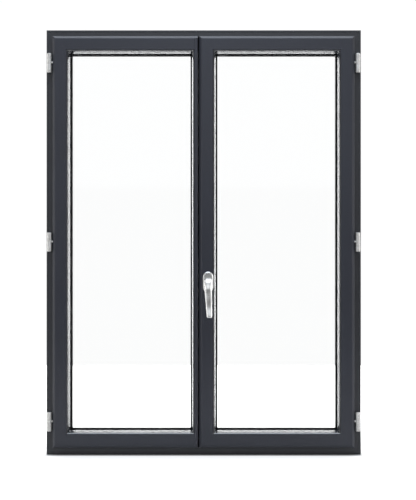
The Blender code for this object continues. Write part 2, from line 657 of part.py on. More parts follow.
def sliding_bar(name, low_z, high_z, x, y, size_x, size_y, tip_up, line):
    """A flat bar with a tapered tip that reaches into its keep."""
    bm = block((x, y - size_y / 2, low_z), (x + size_x, y + size_y / 2, high_z))
    tip_z = high_z if tip_up else low_z
    middle = Vector((x + size_x / 2, y, 0))
    for vert in bm.verts:
        if abs(vert.co.z - tip_z) > TIP:
            continue
        vert.co.x += math.copysign(TIP / 2, middle.x - vert.co.x)
        vert.co.y += math.copysign(TIP / 2, middle.y - vert.co.y)
    origin = Vector((x + size_x / 2, y, (low_z + high_z) / 2))
    bmesh.ops.translate(bm, vec=-origin, verts=bm.verts[:])
    place(name, bm, zinc_steel, origin, line)


top_reach, bottom_reach = core_top + ROD_REACH, core_bottom - ROD_REACH - 0.003
rod_size = (ROD_THICKNESS, ROD_WIDTH)
top_rod_start, bottom_rod_start = (SPINDLE_Z + start for start in ROD_STARTS)
sliding_bar("top_rod", top_rod_start, top_reach, rod_x, gear_y, *rod_size, True, right_line)
sliding_bar("bottom_rod", bottom_reach, bottom_rod_start, rod_x, gear_y, *rod_size, False, right_line)
bolt_y = leaf_front + (bolt_low + bolt_high) / 2
bolt_size = (bolt_floor - 0.001, bolt_high - bolt_low - 2 * FIT)
sliding_bar("left_top_bolt", top_reach - BOLT_LENGTH, top_reach, bolt_x, bolt_y, *bolt_size, True, left_line)
sliding_bar(
    "left_bottom_bolt", bottom_reach, bottom_reach + BOLT_LENGTH, bolt_x, bolt_y, *bolt_size, False, left_line
)


def keep(name, z_low):
    """A block on the frame with two throats, open to the room so that each leaf swings free."""
    room, throat_back, back = (frame_face + depth for depth in KEEP_DEPTHS)
    xs = [bolt_x - 0.010, bolt_x - 0.0025, bolt_x + 0.0105, rod_x - 0.0025, rod_x + 0.0095, rod_x + 0.017]
    outline = [
        (xs[0], room), (xs[1], room), (xs[1], throat_back), (xs[2], throat_back), (xs[2], room),
        (xs[3], room), (xs[3], throat_back), (xs[4], throat_back), (xs[4], room),
        (xs[5], room), (xs[5], back), (xs[0], back),
    ]
    place(name, bar(outline, [], 0, KEEP_THICKNESS, 0, 0), zinc_steel, (0, 0, z_low))


keep("top_keep", HEIGHT - FRAME_FACE_WIDTH - FIT - KEEP_THICKNESS)
keep("bottom_keep", FRAME_FACE_WIDTH + FIT)

# ---- Drain caps on the weather side of the sill ----
cap_outline = [(0.0, 0.0), (0.012, 0.0), (0.010, 0.003), (0.004, 0.006), (0.0, 0.006)]
for name, x in (("drain_cap_left", -DRAIN_CAP_X), ("drain_cap_right", DRAIN_CAP_X)):
    cap = bar(cap_outline, [], -DRAIN_CAP_HALF, DRAIN_CAP_HALF, 0, 0)
    side_bar(name, cap, "bottom", (x, FRAME_DEPTH / 2 + FIT, DRAIN_CAP_Z), black_plastic)
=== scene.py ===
"""Looks of the two-leaf casement window: coated bars, glazing, rubbers, hinges, handle and lock."""

import math

import bmesh
import bpy
from mathutils import Matrix, Vector


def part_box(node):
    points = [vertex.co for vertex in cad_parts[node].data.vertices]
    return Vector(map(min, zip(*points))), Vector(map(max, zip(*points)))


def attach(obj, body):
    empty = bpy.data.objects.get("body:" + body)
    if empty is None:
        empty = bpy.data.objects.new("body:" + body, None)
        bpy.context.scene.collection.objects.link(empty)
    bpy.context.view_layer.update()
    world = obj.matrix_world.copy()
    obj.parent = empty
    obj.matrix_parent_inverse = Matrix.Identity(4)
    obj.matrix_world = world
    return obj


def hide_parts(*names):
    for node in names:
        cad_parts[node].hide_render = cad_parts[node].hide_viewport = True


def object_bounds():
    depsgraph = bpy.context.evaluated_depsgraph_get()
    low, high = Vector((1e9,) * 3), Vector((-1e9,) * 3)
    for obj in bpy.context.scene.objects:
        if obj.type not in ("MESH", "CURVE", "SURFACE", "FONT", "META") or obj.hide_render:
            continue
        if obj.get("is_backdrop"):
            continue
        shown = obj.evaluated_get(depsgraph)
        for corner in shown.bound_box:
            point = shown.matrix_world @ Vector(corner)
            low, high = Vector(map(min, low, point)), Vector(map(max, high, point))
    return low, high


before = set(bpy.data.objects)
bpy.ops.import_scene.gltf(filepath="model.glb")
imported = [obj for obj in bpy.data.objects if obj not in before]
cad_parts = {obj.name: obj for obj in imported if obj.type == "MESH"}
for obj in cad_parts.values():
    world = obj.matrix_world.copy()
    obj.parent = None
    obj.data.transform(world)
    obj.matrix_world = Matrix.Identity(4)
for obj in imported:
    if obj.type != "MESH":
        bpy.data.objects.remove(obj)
cad_low, cad_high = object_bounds()

# ---- Fixed frame ----
# Four hollow aluminium bars, extruded, sawn to a mitre, crimped at the corners and powder coated
# in a dark blue grey before assembly.  A shallow groove runs round the room side near the edge.
FRAME_FACE_WIDTH = 0.038
FRAME_DEPTH = 0.065
STOP_WIDTH = 0.017
STOP_DEPTH = 0.044
SILL_REBATE = (0.005, 0.003)
# The face groove starts and ends this far in from the outer edge, and is this deep.
GROOVE = (0.0062, 0.0078, 0.0009)
GROOVE_SLOPE = 0.0003
# The channel along the outer edge: how far back it starts, how wide and how deep it is.
PLUG_CHANNEL = (0.028, 0.016, 0.0015)
GROOVE_CORNER, STOP_CORNER, BACK_CORNER, STEP_CORNER = 0.0002, 0.0004, 0.0006, 0.0008
SILL_CORNERS = (0.0003, 0.0005)
MITRE_GAP = 0.00001

left_jamb_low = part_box("frame_jamb_left")[0]
right_jamb_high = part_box("frame_jamb_right")[1]
frame_low = Vector((left_jamb_low.x, left_jamb_low.y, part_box("frame_sill")[0].z))
frame_high = Vector((right_jamb_high.x, right_jamb_high.y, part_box("frame_head")[1].z))


def wire(tree, source, target):
    tree.links.new(source, target)


def noise(tree, scale, detail, roughness=0.5, stretch=None):
    """A noise pattern on the piece's own coordinates, stretched along an axis when asked."""
    place = tree.nodes.new("ShaderNodeTexCoord")
    pattern = tree.nodes.new("ShaderNodeTexNoise")
    pattern.inputs["Scale"].default_value = scale
    pattern.inputs["Detail"].default_value = detail
    pattern.inputs["Roughness"].default_value = roughness
    if stretch:
        mapping = tree.nodes.new("ShaderNodeMapping")
        mapping.inputs["Scale"].default_value = stretch
        wire(tree, place.outputs["Object"], mapping.inputs["Vector"])
        wire(tree, mapping.outputs["Vector"], pattern.inputs["Vector"])
    else:
        wire(tree, place.outputs["Object"], pattern.inputs["Vector"])
    return pattern.outputs["Fac"]


def spread(tree, source, low, high, start=0.3, end=0.7):
    """Stretches a pattern's middle range out to the two given values."""
    ramp = tree.nodes.new("ShaderNodeMapRange")
    ramp.inputs["From Min"].default_value = start
    ramp.inputs["From Max"].default_value = end
    ramp.inputs["To Min"].default_value = low
    ramp.inputs["To Max"].default_value = high
    wire(tree, source, ramp.inputs["Value"])
    return ramp.outputs["Result"]


def blend_colours(tree, share, first, second):
    mix = tree.nodes.new("ShaderNodeMix")
    mix.data_type = "RGBA"
    mix.inputs["A"].default_value = (*first, 1.0)
    mix.inputs["B"].default_value = (*second, 1.0)
    wire(tree, share, mix.inputs["Factor"])
    return mix.outputs["Result"]


def surface(name):
    """A new material, with its node tree and its Principled shader."""
    made = bpy.data.materials.new(name)
    made.use_nodes = True
    return made, made.node_tree, made.node_tree.nodes["Principled BSDF"]


def raise_surface(tree, shader, height, strength, distance):
    bump = tree.nodes.new("ShaderNodeBump")
    bump.inputs["Strength"].default_value = strength
    bump.inputs["Distance"].default_value = distance
    wire(tree, height, bump.inputs["Height"])
    wire(tree, bump.outputs["Normal"], shader.inputs["Normal"])


def powder_coat(name, colour, duller, roughness, peel=0.22):
    """Baked polyester powder: faint orange peel, slow drifts of tone, and gloss that varies a little."""
    made, tree, shader = surface(name)
    drift = spread(tree, noise(tree, scale=5.0, detail=3.0), low=0.0, high=1.0)
    wire(tree, blend_colours(tree, drift, colour, duller), shader.inputs["Base Color"])
    patches = noise(tree, scale=60.0, detail=4.0, roughness=0.6)
    gloss = spread(tree, patches, low=0.95 * roughness, high=1.08 * roughness)
    wire(tree, gloss, shader.inputs["Roughness"])
    ripple = noise(tree, scale=900.0, detail=3.0, roughness=0.45)
    raise_surface(tree, shader, ripple, strength=peel, distance=0.00012)
    return made


frame_coat = powder_coat(
    "frame_coat", colour=(0.0245, 0.0256, 0.0310), duller=(0.0215, 0.0225, 0.0274), roughness=0.42
)


def flat_section(outline):
    """A section drawn flat from its (x, y, corner radius) points."""
    bm = bmesh.new()
    corners = [bm.verts.new((x, y, 0.0)) for x, y, radius in outline]
    bm.faces.new(corners)
    for radius in sorted({radius for x, y, radius in outline if radius}):
        rounded = [corner for corner, point in zip(corners, outline) if point[2] == radius]
        bmesh.ops.bevel(
            bm, geom=rounded, offset=radius, offset_type="OFFSET", segments=4, profile=0.5,
            affect="VERTICES", material=-1,
        )
    return bm


def extruded(outline, start, end, start_mitre=1.0, end_mitre=1.0):
    """A bar along +Z from its section, with its ends sawn to a mitre."""
    bm = flat_section(outline)
    near = bm.verts[:]
    pushed = bmesh.ops.extrude_face_region(bm, geom=bm.faces[:])["geom"]
    far = [item for item in pushed if isinstance(item, bmesh.types.BMVert)]
    for verts, z, slope in ((near, start, start_mitre), (far, end, -end_mitre)):
        sawn = Matrix(((1, 0, 0, 0), (0, 1, 0, 0), (slope, 0, 1, z), (0, 0, 0, 1)))
        bmesh.ops.transform(bm, matrix=sawn, verts=verts)
    return bm


# Which way a bar's width (local x) and length (local z) run on each side of a rectangle.
TURNS = {
    "left": Matrix(((1, 0, 0, 0), (0, 1, 0, 0), (0, 0, 1, 0), (0, 0, 0, 1))),
    "right": Matrix(((-1, 0, 0, 0), (0, 1, 0, 0), (0, 0, 1, 0), (0, 0, 0, 1))),
    "top": Matrix(((0, 0, 1, 0), (0, 1, 0, 0), (-1, 0, 0, 0), (0, 0, 0, 1))),
    "bottom": Matrix(((0, 0, 1, 0), (0, 1, 0, 0), (1, 0, 0, 0), (0, 0, 0, 1))),
}


def lay(bm, side, corner):
    """Turns a bar to lie along one side and moves it to the outer corner where it starts."""
    bmesh.ops.transform(bm, matrix=Matrix.Translation(corner) @ TURNS[side], verts=bm.verts[:])
    return bm


def fit(name, bm, material, body, slot, *nodes, smooth=0):
    """Makes a piece from its mesh, hangs it on its body and puts it in place of its plain nodes."""
    bmesh.ops.recalc_face_normals(bm, faces=bm.faces[:])
    mesh = bpy.data.meshes.new(name)
    bm.to_mesh(mesh)
    bm.free()
    if smooth:
        mesh.shade_smooth()
        mesh.set_sharp_from_angle(angle=math.radians(smooth))
    mesh.materials.append(material)
    piece = bpy.data.objects.new(name, mesh)
    bpy.context.collection.objects.link(piece)
    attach(piece, body)
    if nodes:
        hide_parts(*nodes)
    return piece


groove_start, groove_end, groove_depth = GROOVE
channel_front, channel_width, channel_depth = PLUG_CHANNEL
channel_back = channel_front + channel_width
stop = FRAME_FACE_WIDTH + STOP_WIDTH
# Each point is (in from the outer edge, back from the room face, rounding of that corner).
frame_section = [
    (groove_start, 0, GROOVE_CORNER), (groove_start + GROOVE_SLOPE, groove_depth, 0),
    (groove_end - GROOVE_SLOPE, groove_depth, 0), (groove_end, 0, GROOVE_CORNER),
    (FRAME_FACE_WIDTH, 0, STEP_CORNER), (FRAME_FACE_WIDTH, STOP_DEPTH, STOP_CORNER),
    (stop, STOP_DEPTH, STEP_CORNER), (stop, FRAME_DEPTH, BACK_CORNER), (0, FRAME_DEPTH, BACK_CORNER),
    (0, channel_back, 0), (channel_depth, channel_back, 0), (channel_depth, channel_front, 0),
    (0, channel_front, 0),
]
jamb_section = [*frame_section, (0, 0, BACK_CORNER)]
rebate_width, rebate_depth = SILL_REBATE
sill_section = [
    *frame_section, (0, rebate_depth, SILL_CORNERS[0]), (rebate_width, rebate_depth, 0),
    (rebate_width, 0, SILL_CORNERS[1]),
]
frame_width, frame_height = frame_high.x - frame_low.x, frame_high.z - frame_low.z
low_right = (frame_high.x, frame_low.y, frame_low.z)
high_left = (frame_low.x, frame_low.y, frame_high.z)
for node, section, side, corner, length in (
    ("frame_jamb_left", jamb_section, "left", frame_low, frame_height),
    ("frame_jamb_right", jamb_section, "right", low_right, frame_height),
    ("frame_head", jamb_section, "top", high_left, frame_width),
    ("frame_sill", sill_section, "bottom", frame_low, frame_width),
):
    bar = lay(extruded(section, MITRE_GAP, length - MITRE_GAP), side, corner)
    fit(f"{node}_coated", bar, frame_coat, "frame", "frame_paint", node)

# ---- Frame's stop rubber ----
# One length of black rubber with a hollow bulb, pushed into the frame's stop and vulcanised at
# its corners.  The closed leaves lie against it.
STOP_BULB_WIDTH = 0.0035
OVAL_SIDES = 12

# Matt black, dusty in places, with a fine moulded grain.
seal_rubber, tree, shader = surface("seal_rubber")
patches = noise(tree, scale=35.0, detail=5.0, roughness=0.65)
dust = spread(tree, patches, low=0.0, high=0.6, start=0.45, end=0.75)
dusty = blend_colours(tree, dust, (0.0028, 0.0028, 0.0031), (0.0065, 0.0065, 0.0063))
wire(tree, dusty, shader.inputs["Base Color"])
shader.inputs["Specular IOR Level"].default_value = 0.12
dullness = spread(tree, noise(tree, scale=220.0, detail=3.0), low=0.74, high=0.90)
wire(tree, dullness, shader.inputs["Roughness"])
raise_surface(tree, shader, noise(tree, scale=1500.0, detail=2.0), strength=0.3, distance=0.00005)


def oval_section(low, high):
    """An oval section filling the (in from the edge, y) box."""
    bm = bmesh.new()
    bmesh.ops.create_circle(bm, segments=OVAL_SIDES, radius=1.0, cap_ends=True)
    bmesh.ops.scale(bm, vec=((high[0] - low[0]) / 2, (high[1] - low[1]) / 2, 1.0), verts=bm.verts[:])
    bmesh.ops.translate(bm, vec=((low[0] + high[0]) / 2, (low[1] + high[1]) / 2, 0.0), verts=bm.verts[:])
    return bm


def led_round(bm, low, high):
    """A section, drawn as (in from the edge, y), led round a rectangle with mitred corners."""
    bmesh.ops.delete(bm, geom=bm.faces[:], context="FACES_ONLY")
    lean = Matrix(((1, 0, 0, 0), (0, 1, 0, 0), (1, 0, 0, 0), (0, 0, 0, 1)))
    bmesh.ops.transform(bm, matrix=lean, verts=bm.verts[:])
    width, height = high[0] - low[0], high[1] - low[1]
    bmesh.ops.translate(bm, vec=(-width / 2, 0, -height / 2), verts=bm.verts[:])
    first = bm.edges[:]
    first_verts = bm.verts[:]
    loops = [first]
    for flip_x, flip_z in ((-1, 1), (-1, -1), (1, -1)):
        copied = bmesh.ops.duplicate(bm, geom=first + first_verts)["geom"]
        verts = [item for item in copied if isinstance(item, bmesh.types.BMVert)]
        bmesh.ops.scale(bm, vec=(flip_x, 1, flip_z), verts=verts)
        loops.append([item for item in copied if isinstance(item, bmesh.types.BMEdge)])
    for loop, following in zip(loops, loops[1:] + loops[:1]):
        bmesh.ops.bridge_loops(bm, edges=loop + following)
    middle_point = ((low[0] + high[0]) / 2, 0, (low[1] + high[1]) / 2)
    bmesh.ops.translate(bm, vec=middle_point, verts=bm.verts[:])
    return bm


rubber_low, rubber_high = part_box("frame_stop_gasket")
stop_bulb = oval_section((0.0, rubber_low.y), (STOP_BULB_WIDTH, rubber_high.y))
stop_ring = led_round(stop_bulb, (rubber_low.x, rubber_low.z), (rubber_high.x, rubber_high.z))
fit("frame_stop_rubber", stop_ring, seal_rubber, "frame", "black_rubber", "frame_stop_gasket", smooth=60)

# ---- Drain caps ----
# Two black moulded hoods over the sill's drain slots on the weather side, pushed in after coating.
HOOD_WALL = 0.0012
HOOD_SHOULDER_DROP = 0.002
HOOD_NOSE_HEIGHT = 0.0045
HOLLOW_HEIGHT, HOLLOW_FRONT = 0.003, 0.0025
HOOD_ROUNDINGS = (0.0002, 0.0010, 0.0012, 0.0003)

moulded, tree, shader = surface("moulded_black")
mottle = spread(tree, noise(tree, scale=120.0, detail=4.0), low=0.0, high=1.0)
mottled = blend_colours(tree, mottle, (0.018, 0.018, 0.020), (0.026, 0.026, 0.028))
wire(tree, mottled, shader.inputs["Base Color"])
dullness = spread(tree, noise(tree, scale=300.0, detail=2.0), low=0.42, high=0.56)
wire(tree, dullness, shader.inputs["Roughness"])
raise_surface(tree, shader, noise(tree, scale=1800.0, detail=2.0), strength=0.4, distance=0.00005)
for node in ("drain_cap_left", "drain_cap_right"):
    low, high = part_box(node)
    depth, tall = high.y - low.y, high.z - low.z
    # Each point is (up from the foot, out from the sill, rounding of that corner).
    hood_section = [
        (0.0, 0.0, 0), (tall, 0.0, HOOD_ROUNDINGS[0]),
        (tall - HOOD_SHOULDER_DROP, depth / 2, HOOD_ROUNDINGS[1]),
        (HOOD_NOSE_HEIGHT, depth, HOOD_ROUNDINGS[2]), (0.0, depth, HOOD_ROUNDINGS[3]),
        (0.0, depth - HOOD_WALL, 0), (HOLLOW_HEIGHT, depth - HOLLOW_FRONT, 0),
        (HOLLOW_HEIGHT, HOOD_WALL, 0), (0.0, HOOD_WALL, 0),
    ]
    hood = lay(extruded(hood_section, 0, high.x - low.x, 0, 0), "bottom", low)
    fit(f"{node}_hood", hood, moulded, "frame", "black_plastic", node)

# ---- Leaf bars ----
# Deeper hollow bars of the same make: a lip laps over the frame, a chamfer runs round the lip and
# a leg behind holds the glass.  The left leaf meets the right one with a slim stile.
LIP_WIDTH, LIP_DEPTH = 0.0275, 0.016
LEAF_DEPTH = 0.060
LEAF_FACE_WIDTH = 0.044
SLIM_FACE_WIDTH = 0.0110
LIP_CHAMFER = (0.008, 0.006)
SLIM_CHAMFER = (0.003, 0.0025)
LEG_WIDTH, LEG_DEPTH = 0.0085, 0.010
EDGE_SETBACK, EDGE_NOSE_DEPTH = 0.003, 0.020
# Each recess or groove: how far in it goes, then where it starts and ends behind the room face.
FACEPLATE_RECESS = (0.0033, 0.0227, 0.0393)
ROD_GROOVE = (0.014, 0.0245, 0.0375)
BOLT_GROOVE = (0.0086, 0.0242, 0.0358)
HARDWARE_GROOVE = (0.003, 0.030, 0.046)
LEG_ROOT_CORNER, LEAF_BACK_CORNER, LEG_CORNER, GLASS_SIDE_CORNER = 0.0003, 0.0005, 0.0006, 0.0012
LIP_CORNER, CHAMFER_CORNER = 0.0010, 0.0015
SLIM_LIP_CORNER, SLIM_CHAMFER_CORNER = 0.0006, 0.0008
CASE_CLEARANCE = 0.0006
CASE_SLOT_REACH = 0.003
SPINDLE_BORE_RADIUS = 0.008
BORE_LENGTH = 0.060
CUT_OVERRUN = 0.02

leaf_coat = powder_coat(
    "leaf_coat", colour=(0.0210, 0.0233, 0.0338), duller=(0.0188, 0.0207, 0.0300), roughness=0.40
)


def glass_side(face_width):
    """A leaf bar's section from its front face, down its glass side and round the leg behind."""
    leg_front = LEAF_DEPTH - LEG_DEPTH
    return [
        (face_width, 0, GLASS_SIDE_CORNER), (face_width, leg_front, LEG_ROOT_CORNER),
        (face_width + LEG_WIDTH, leg_front, LEG_CORNER), (face_width + LEG_WIDTH, LEAF_DEPTH, LEG_CORNER),
    ]


chamfer_width, chamfer_depth = LIP_CHAMFER
grip, grip_low, grip_high = HARDWARE_GROOVE
lip_section = [
    (0, chamfer_depth, LIP_CORNER), (chamfer_width, 0, CHAMFER_CORNER), *glass_side(LEAF_FACE_WIDTH),
    (LIP_WIDTH, LEAF_DEPTH, LEAF_BACK_CORNER), (LIP_WIDTH, grip_high, 0), (LIP_WIDTH + grip, grip_high, 0),
    (LIP_WIDTH + grip, grip_low, 0), (LIP_WIDTH, grip_low, 0), (LIP_WIDTH, LIP_DEPTH, 0),
    (0, LIP_DEPTH, LEAF_BACK_CORNER),
]
recess, recess_low, recess_high = FACEPLATE_RECESS
rod_floor, rod_low, rod_high = ROD_GROOVE
recess_floor = EDGE_SETBACK + recess
lock_section = [
    (0, chamfer_depth, LIP_CORNER), (chamfer_width, 0, CHAMFER_CORNER), *glass_side(LEAF_FACE_WIDTH),
    (EDGE_SETBACK, LEAF_DEPTH, LEAF_BACK_CORNER), (EDGE_SETBACK, recess_high, 0),
    (recess_floor, recess_high, 0), (recess_floor, rod_high, 0), (rod_floor, rod_high, 0),
    (rod_floor, rod_low, 0), (recess_floor, rod_low, 0), (recess_floor, recess_low, 0),
    (EDGE_SETBACK, recess_low, 0), (EDGE_SETBACK, EDGE_NOSE_DEPTH, 0),
    (0, EDGE_NOSE_DEPTH, LEAF_BACK_CORNER),
]
bolt_floor, bolt_low, bolt_high = BOLT_GROOVE
slim_width, slim_depth = SLIM_CHAMFER
slim_section = [
    (0, slim_depth, SLIM_LIP_CORNER), (slim_width, 0, SLIM_CHAMFER_CORNER), *glass_side(SLIM_FACE_WIDTH),
    (0, LEAF_DEPTH, LEAF_BACK_CORNER), (0, bolt_high, 0), (bolt_floor, bolt_high, 0),
    (bolt_floor, bolt_low, 0), (0, bolt_low, 0),
]


def block(low, high):
    bm = bmesh.new()
    size, middle = Vector(high) - Vector(low), (Vector(high) + Vector(low)) / 2
    bmesh.ops.create_cube(bm, size=1.0, matrix=Matrix.Translation(middle) @ Matrix.Diagonal((*size, 1.0)))
    return bm


def mill(piece, bm):
    """Mills a shape out of a piece and keeps the result as its mesh."""
    bmesh.ops.recalc_face_normals(bm, faces=bm.faces[:])
    cutter_mesh = bpy.data.meshes.new("cutter")
    bm.to_mesh(cutter_mesh)
    bm.free()
    cutter = bpy.data.objects.new("cutter", cutter_mesh)
    bpy.context.collection.objects.link(cutter)
    step = piece.modifiers.new("mill", "BOOLEAN")
    step.operation, step.solver, step.object = "DIFFERENCE", "EXACT", cutter
    bpy.context.view_layer.update()
    milled = bpy.data.meshes.new_from_object(piece.evaluated_get(bpy.context.evaluated_depsgraph_get()))
    piece.modifiers.remove(step)
    piece.data = milled
    bpy.data.objects.remove(cutter)
    return piece


leaf_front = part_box("left_hinge_stile")[0].y
leaf_low_z, leaf_high_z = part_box("left_hinge_stile")[0].z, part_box("left_hinge_stile")[1].z
leaf_height = leaf_high_z - leaf_low_z
left_outer_x, left_edge_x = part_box("left_hinge_stile")[0].x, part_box("left_meeting_stile")[1].x
right_outer_x, right_edge_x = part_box("right_hinge_stile")[1].x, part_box("right_lock_stile")[0].x
slim_inner_x = left_edge_x - SLIM_FACE_WIDTH
core_low_z, core_high_z = leaf_low_z + LIP_WIDTH, leaf_high_z - LIP_WIDTH

for hand, hinge_x, stile_side in (("left", left_outer_x, "left"), ("right", right_outer_x, "right")):
    stile = extruded(lip_section, MITRE_GAP, leaf_height - MITRE_GAP)
    lay(stile, stile_side, (hinge_x, leaf_front, leaf_low_z))
    fit(f"{hand}_hinge_stile_coated", stile, leaf_coat, f"{hand}_leaf", "leaf_paint", f"{hand}_hinge_stile")
for end, z in (("top", leaf_high_z), ("bottom", leaf_low_z)):
    left_rail = extruded(lip_section, MITRE_GAP, slim_inner_x - MITRE_GAP - left_outer_x, 1.0, 0.0)
    lay(left_rail, end, (left_outer_x, leaf_front, z))
    fit(f"left_{end}_rail_coated", left_rail, leaf_coat, "left_leaf", "leaf_paint", f"left_{end}_rail")
    right_rail = extruded(lip_section, MITRE_GAP, right_outer_x - right_edge_x - MITRE_GAP)
    lay(right_rail, end, (right_edge_x, leaf_front, z))
    fit(f"right_{end}_rail_coated", right_rail, leaf_coat, "right_leaf", "leaf_paint", f"right_{end}_rail")

# The lock stile's core stops short of its lip at both ends, where the frame's bars pass.
lock_bar = extruded(lock_section, MITRE_GAP, leaf_height - MITRE_GAP)
lay(lock_bar, "left", (right_edge_x, leaf_front, leaf_low_z))
lock_stile = fit(
    "right_lock_stile_coated", lock_bar, leaf_coat, "right_leaf", "leaf_paint", "right_lock_stile"
)
spindle_low, spindle_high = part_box("handle_spindle")
spindle_x = (spindle_low.x + spindle_high.x) / 2
spindle_z = (spindle_low.z + spindle_high.z) / 2
notch_y = leaf_front + LIP_DEPTH
past_back = leaf_front + LEAF_DEPTH + CUT_OVERRUN
core_ends = ((core_high_z, leaf_high_z + CUT_OVERRUN), (leaf_low_z - CUT_OVERRUN, core_low_z))
for low_z, high_z in core_ends:
    notch = block((right_edge_x - CUT_OVERRUN, notch_y, low_z), (right_edge_x + LIP_WIDTH, past_back, high_z))
    mill(lock_stile, notch)
case_low, case_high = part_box("gearbox_case")
pocket_low = (case_low.x - CASE_SLOT_REACH, case_low.y - CASE_CLEARANCE, case_low.z - CASE_CLEARANCE)
pocket_high = (case_high.x + CASE_CLEARANCE, case_high.y + CASE_CLEARANCE, case_high.z + CASE_CLEARANCE)
mill(lock_stile, block(pocket_low, pocket_high))
spindle_bore = bmesh.new()
bmesh.ops.create_cone(
    spindle_bore, cap_ends=True, segments=32, radius1=SPINDLE_BORE_RADIUS, radius2=SPINDLE_BORE_RADIUS,
    depth=BORE_LENGTH,
    matrix=Matrix.Translation((spindle_x, leaf_front, spindle_z)) @ Matrix.Rotation(math.pi / 2, 4, "X"),
)
mill(lock_stile, spindle_bore)

# The slim stile is full height in front, chamfered at its ends like the rails, and notched behind.
slim_bar = lay(extruded(slim_section, 0, leaf_height, 0, 0), "right", (left_edge_x, leaf_front, leaf_low_z))
for z, outward in ((leaf_low_z, -1), (leaf_high_z, 1)):
    shoulder = Vector((0, leaf_front + chamfer_depth, z))
    slope = Vector((0, -chamfer_width, outward * chamfer_depth)).normalized()
    cut = bmesh.ops.bisect_plane(
        slim_bar, geom=slim_bar.verts[:] + slim_bar.edges[:] + slim_bar.faces[:], plane_co=shoulder,
        plane_no=slope, clear_outer=True,
    )["geom_cut"]
    bmesh.ops.holes_fill(slim_bar, edges=[e for e in cut if isinstance(e, bmesh.types.BMEdge)], sides=0)
slim_stile = fit(
    "left_meeting_stile_coated", slim_bar, leaf_coat, "left_leaf", "leaf_paint", "left_meeting_stile"
)
before_slim = slim_inner_x - CUT_OVERRUN
for low_z, high_z in core_ends:
    mill(slim_stile, block((before_slim, notch_y, low_z), (left_edge_x + CUT_OVERRUN, past_back, high_z)))
leg_reach = LEAF_FACE_WIDTH + LEG_WIDTH
for low_z, high_z in ((leaf_high_z - leg_reach, leaf_high_z), (leaf_low_z, leaf_low_z + leg_reach)):
    mill(slim_stile, block((before_slim, leaf_front - CUT_OVERRUN, low_z), (slim_inner_x, past_back, high_z)))

# ---- Glazing beads ----
# Slim snap-in bars that hold each pane from the room side.  Their curved slope falls from the
# leaf's face to the glass and is glossier than the wide bars.
BEAD_WIDTH, BEAD_DEPTH = 0.0091, 0.0242
BEAD_FOOT = 0.001
BEAD_SIDE_GAP = 0.0005

bead_coat = powder_coat(
    "bead_coat", colour=(0.022, 0.024, 0.029), duller=(0.019, 0.021, 0.026), roughness=0.19, peel=0.005
)
bead_coat.node_tree.nodes["Principled BSDF"].inputs["IOR"].default_value = 1.8
# Each point is (in from the leaf bar, back from its face, rounding of that corner).
bead_section = [
    (0.0007, 0.0008, 0.0003), (0.0012, 0.0002, 0.0003), (0.0038, 0.0024, 0.0018), (0.0070, 0.0110, 0.0040),
    (BEAD_WIDTH, BEAD_DEPTH - BEAD_FOOT, 0.0003), (BEAD_WIDTH, BEAD_DEPTH, 0), (BEAD_SIDE_GAP, BEAD_DEPTH, 0),
]
glass_low_z, glass_high_z = leaf_low_z + LEAF_FACE_WIDTH, leaf_high_z - LEAF_FACE_WIDTH
openings = {
    "left": (left_outer_x + LEAF_FACE_WIDTH, slim_inner_x),
    "right": (right_edge_x + LEAF_FACE_WIDTH, right_outer_x - LEAF_FACE_WIDTH),
}
for hand, (low_x, high_x) in openings.items():
    width, height = high_x - low_x, glass_high_z - glass_low_z
    for side, corner, length in (
        ("left", (low_x, leaf_front, glass_low_z), height),
        ("right", (high_x, leaf_front, glass_low_z), height),
        ("top", (low_x, leaf_front, glass_high_z), width),
        ("bottom", (low_x, leaf_front, glass_low_z), width),
    ):
        bead = lay(extruded(bead_section, MITRE_GAP, length - MITRE_GAP), side, corner)
        node = f"{hand}_bead_{side}"
        fit(f"{node}_coated", bead, bead_coat, f"{hand}_leaf", "bead_paint", node)

# ---- Glazing rubbers ----
# A black wedge on the room side and an oval seal on the weather side squeeze each glazing unit.  Both
# are extruded rubber, pushed in round the opening.
OUTER_SEAL_WIDTH = 0.005
# Each point is (in from the leaf bar, back from the wedge's own front, rounding of that corner).
WEDGE_SECTION = (
    (0.0, 0.0004, 0.0003), (0.0042, 0.0, 0.0003), (0.0068, 0.0012, 0.0002),
    (0.0082, 0.0022, 0.0001), (0.0082, 0.0027, 0.0), (0.0, 0.0027, 0.0002),
)
for hand in openings:
    for node in (f"{hand}_inner_gasket", f"{hand}_outer_gasket"):
        low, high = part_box(node)
        if "inner" in node:
            section = flat_section([(u, low.y + up, radius) for u, up, radius in WEDGE_SECTION])
        else:
            section = oval_section((0.0, low.y), (OUTER_SEAL_WIDTH, high.y))
        ring = led_round(section, (low.x, low.z), (high.x, high.z))
        fit(f"{node}_wedge", ring, seal_rubber, f"{hand}_leaf", "black_rubber", node, smooth=50)

# ---- Glass units ----
# Two 4 mm float panes and a 12 mm gas gap, held apart by a perforated spacer coated black.  The
# panes mirror almost nothing head on and nearly everything at a grazing angle.
HEAD_ON_MIRROR, GRAZING_MIRROR = 0.006, 0.9


def maths(tree, operation, first, second=None):
    """A math node fed by sockets, or by a socket and a number."""
    node = tree.nodes.new("ShaderNodeMath")
    node.operation = operation
    wire(tree, first, node.inputs[0])
    if isinstance(second, float):
        node.inputs[1].default_value = second
    elif second is not None:
        wire(tree, second, node.inputs[1])
    return node.outputs["Value"]


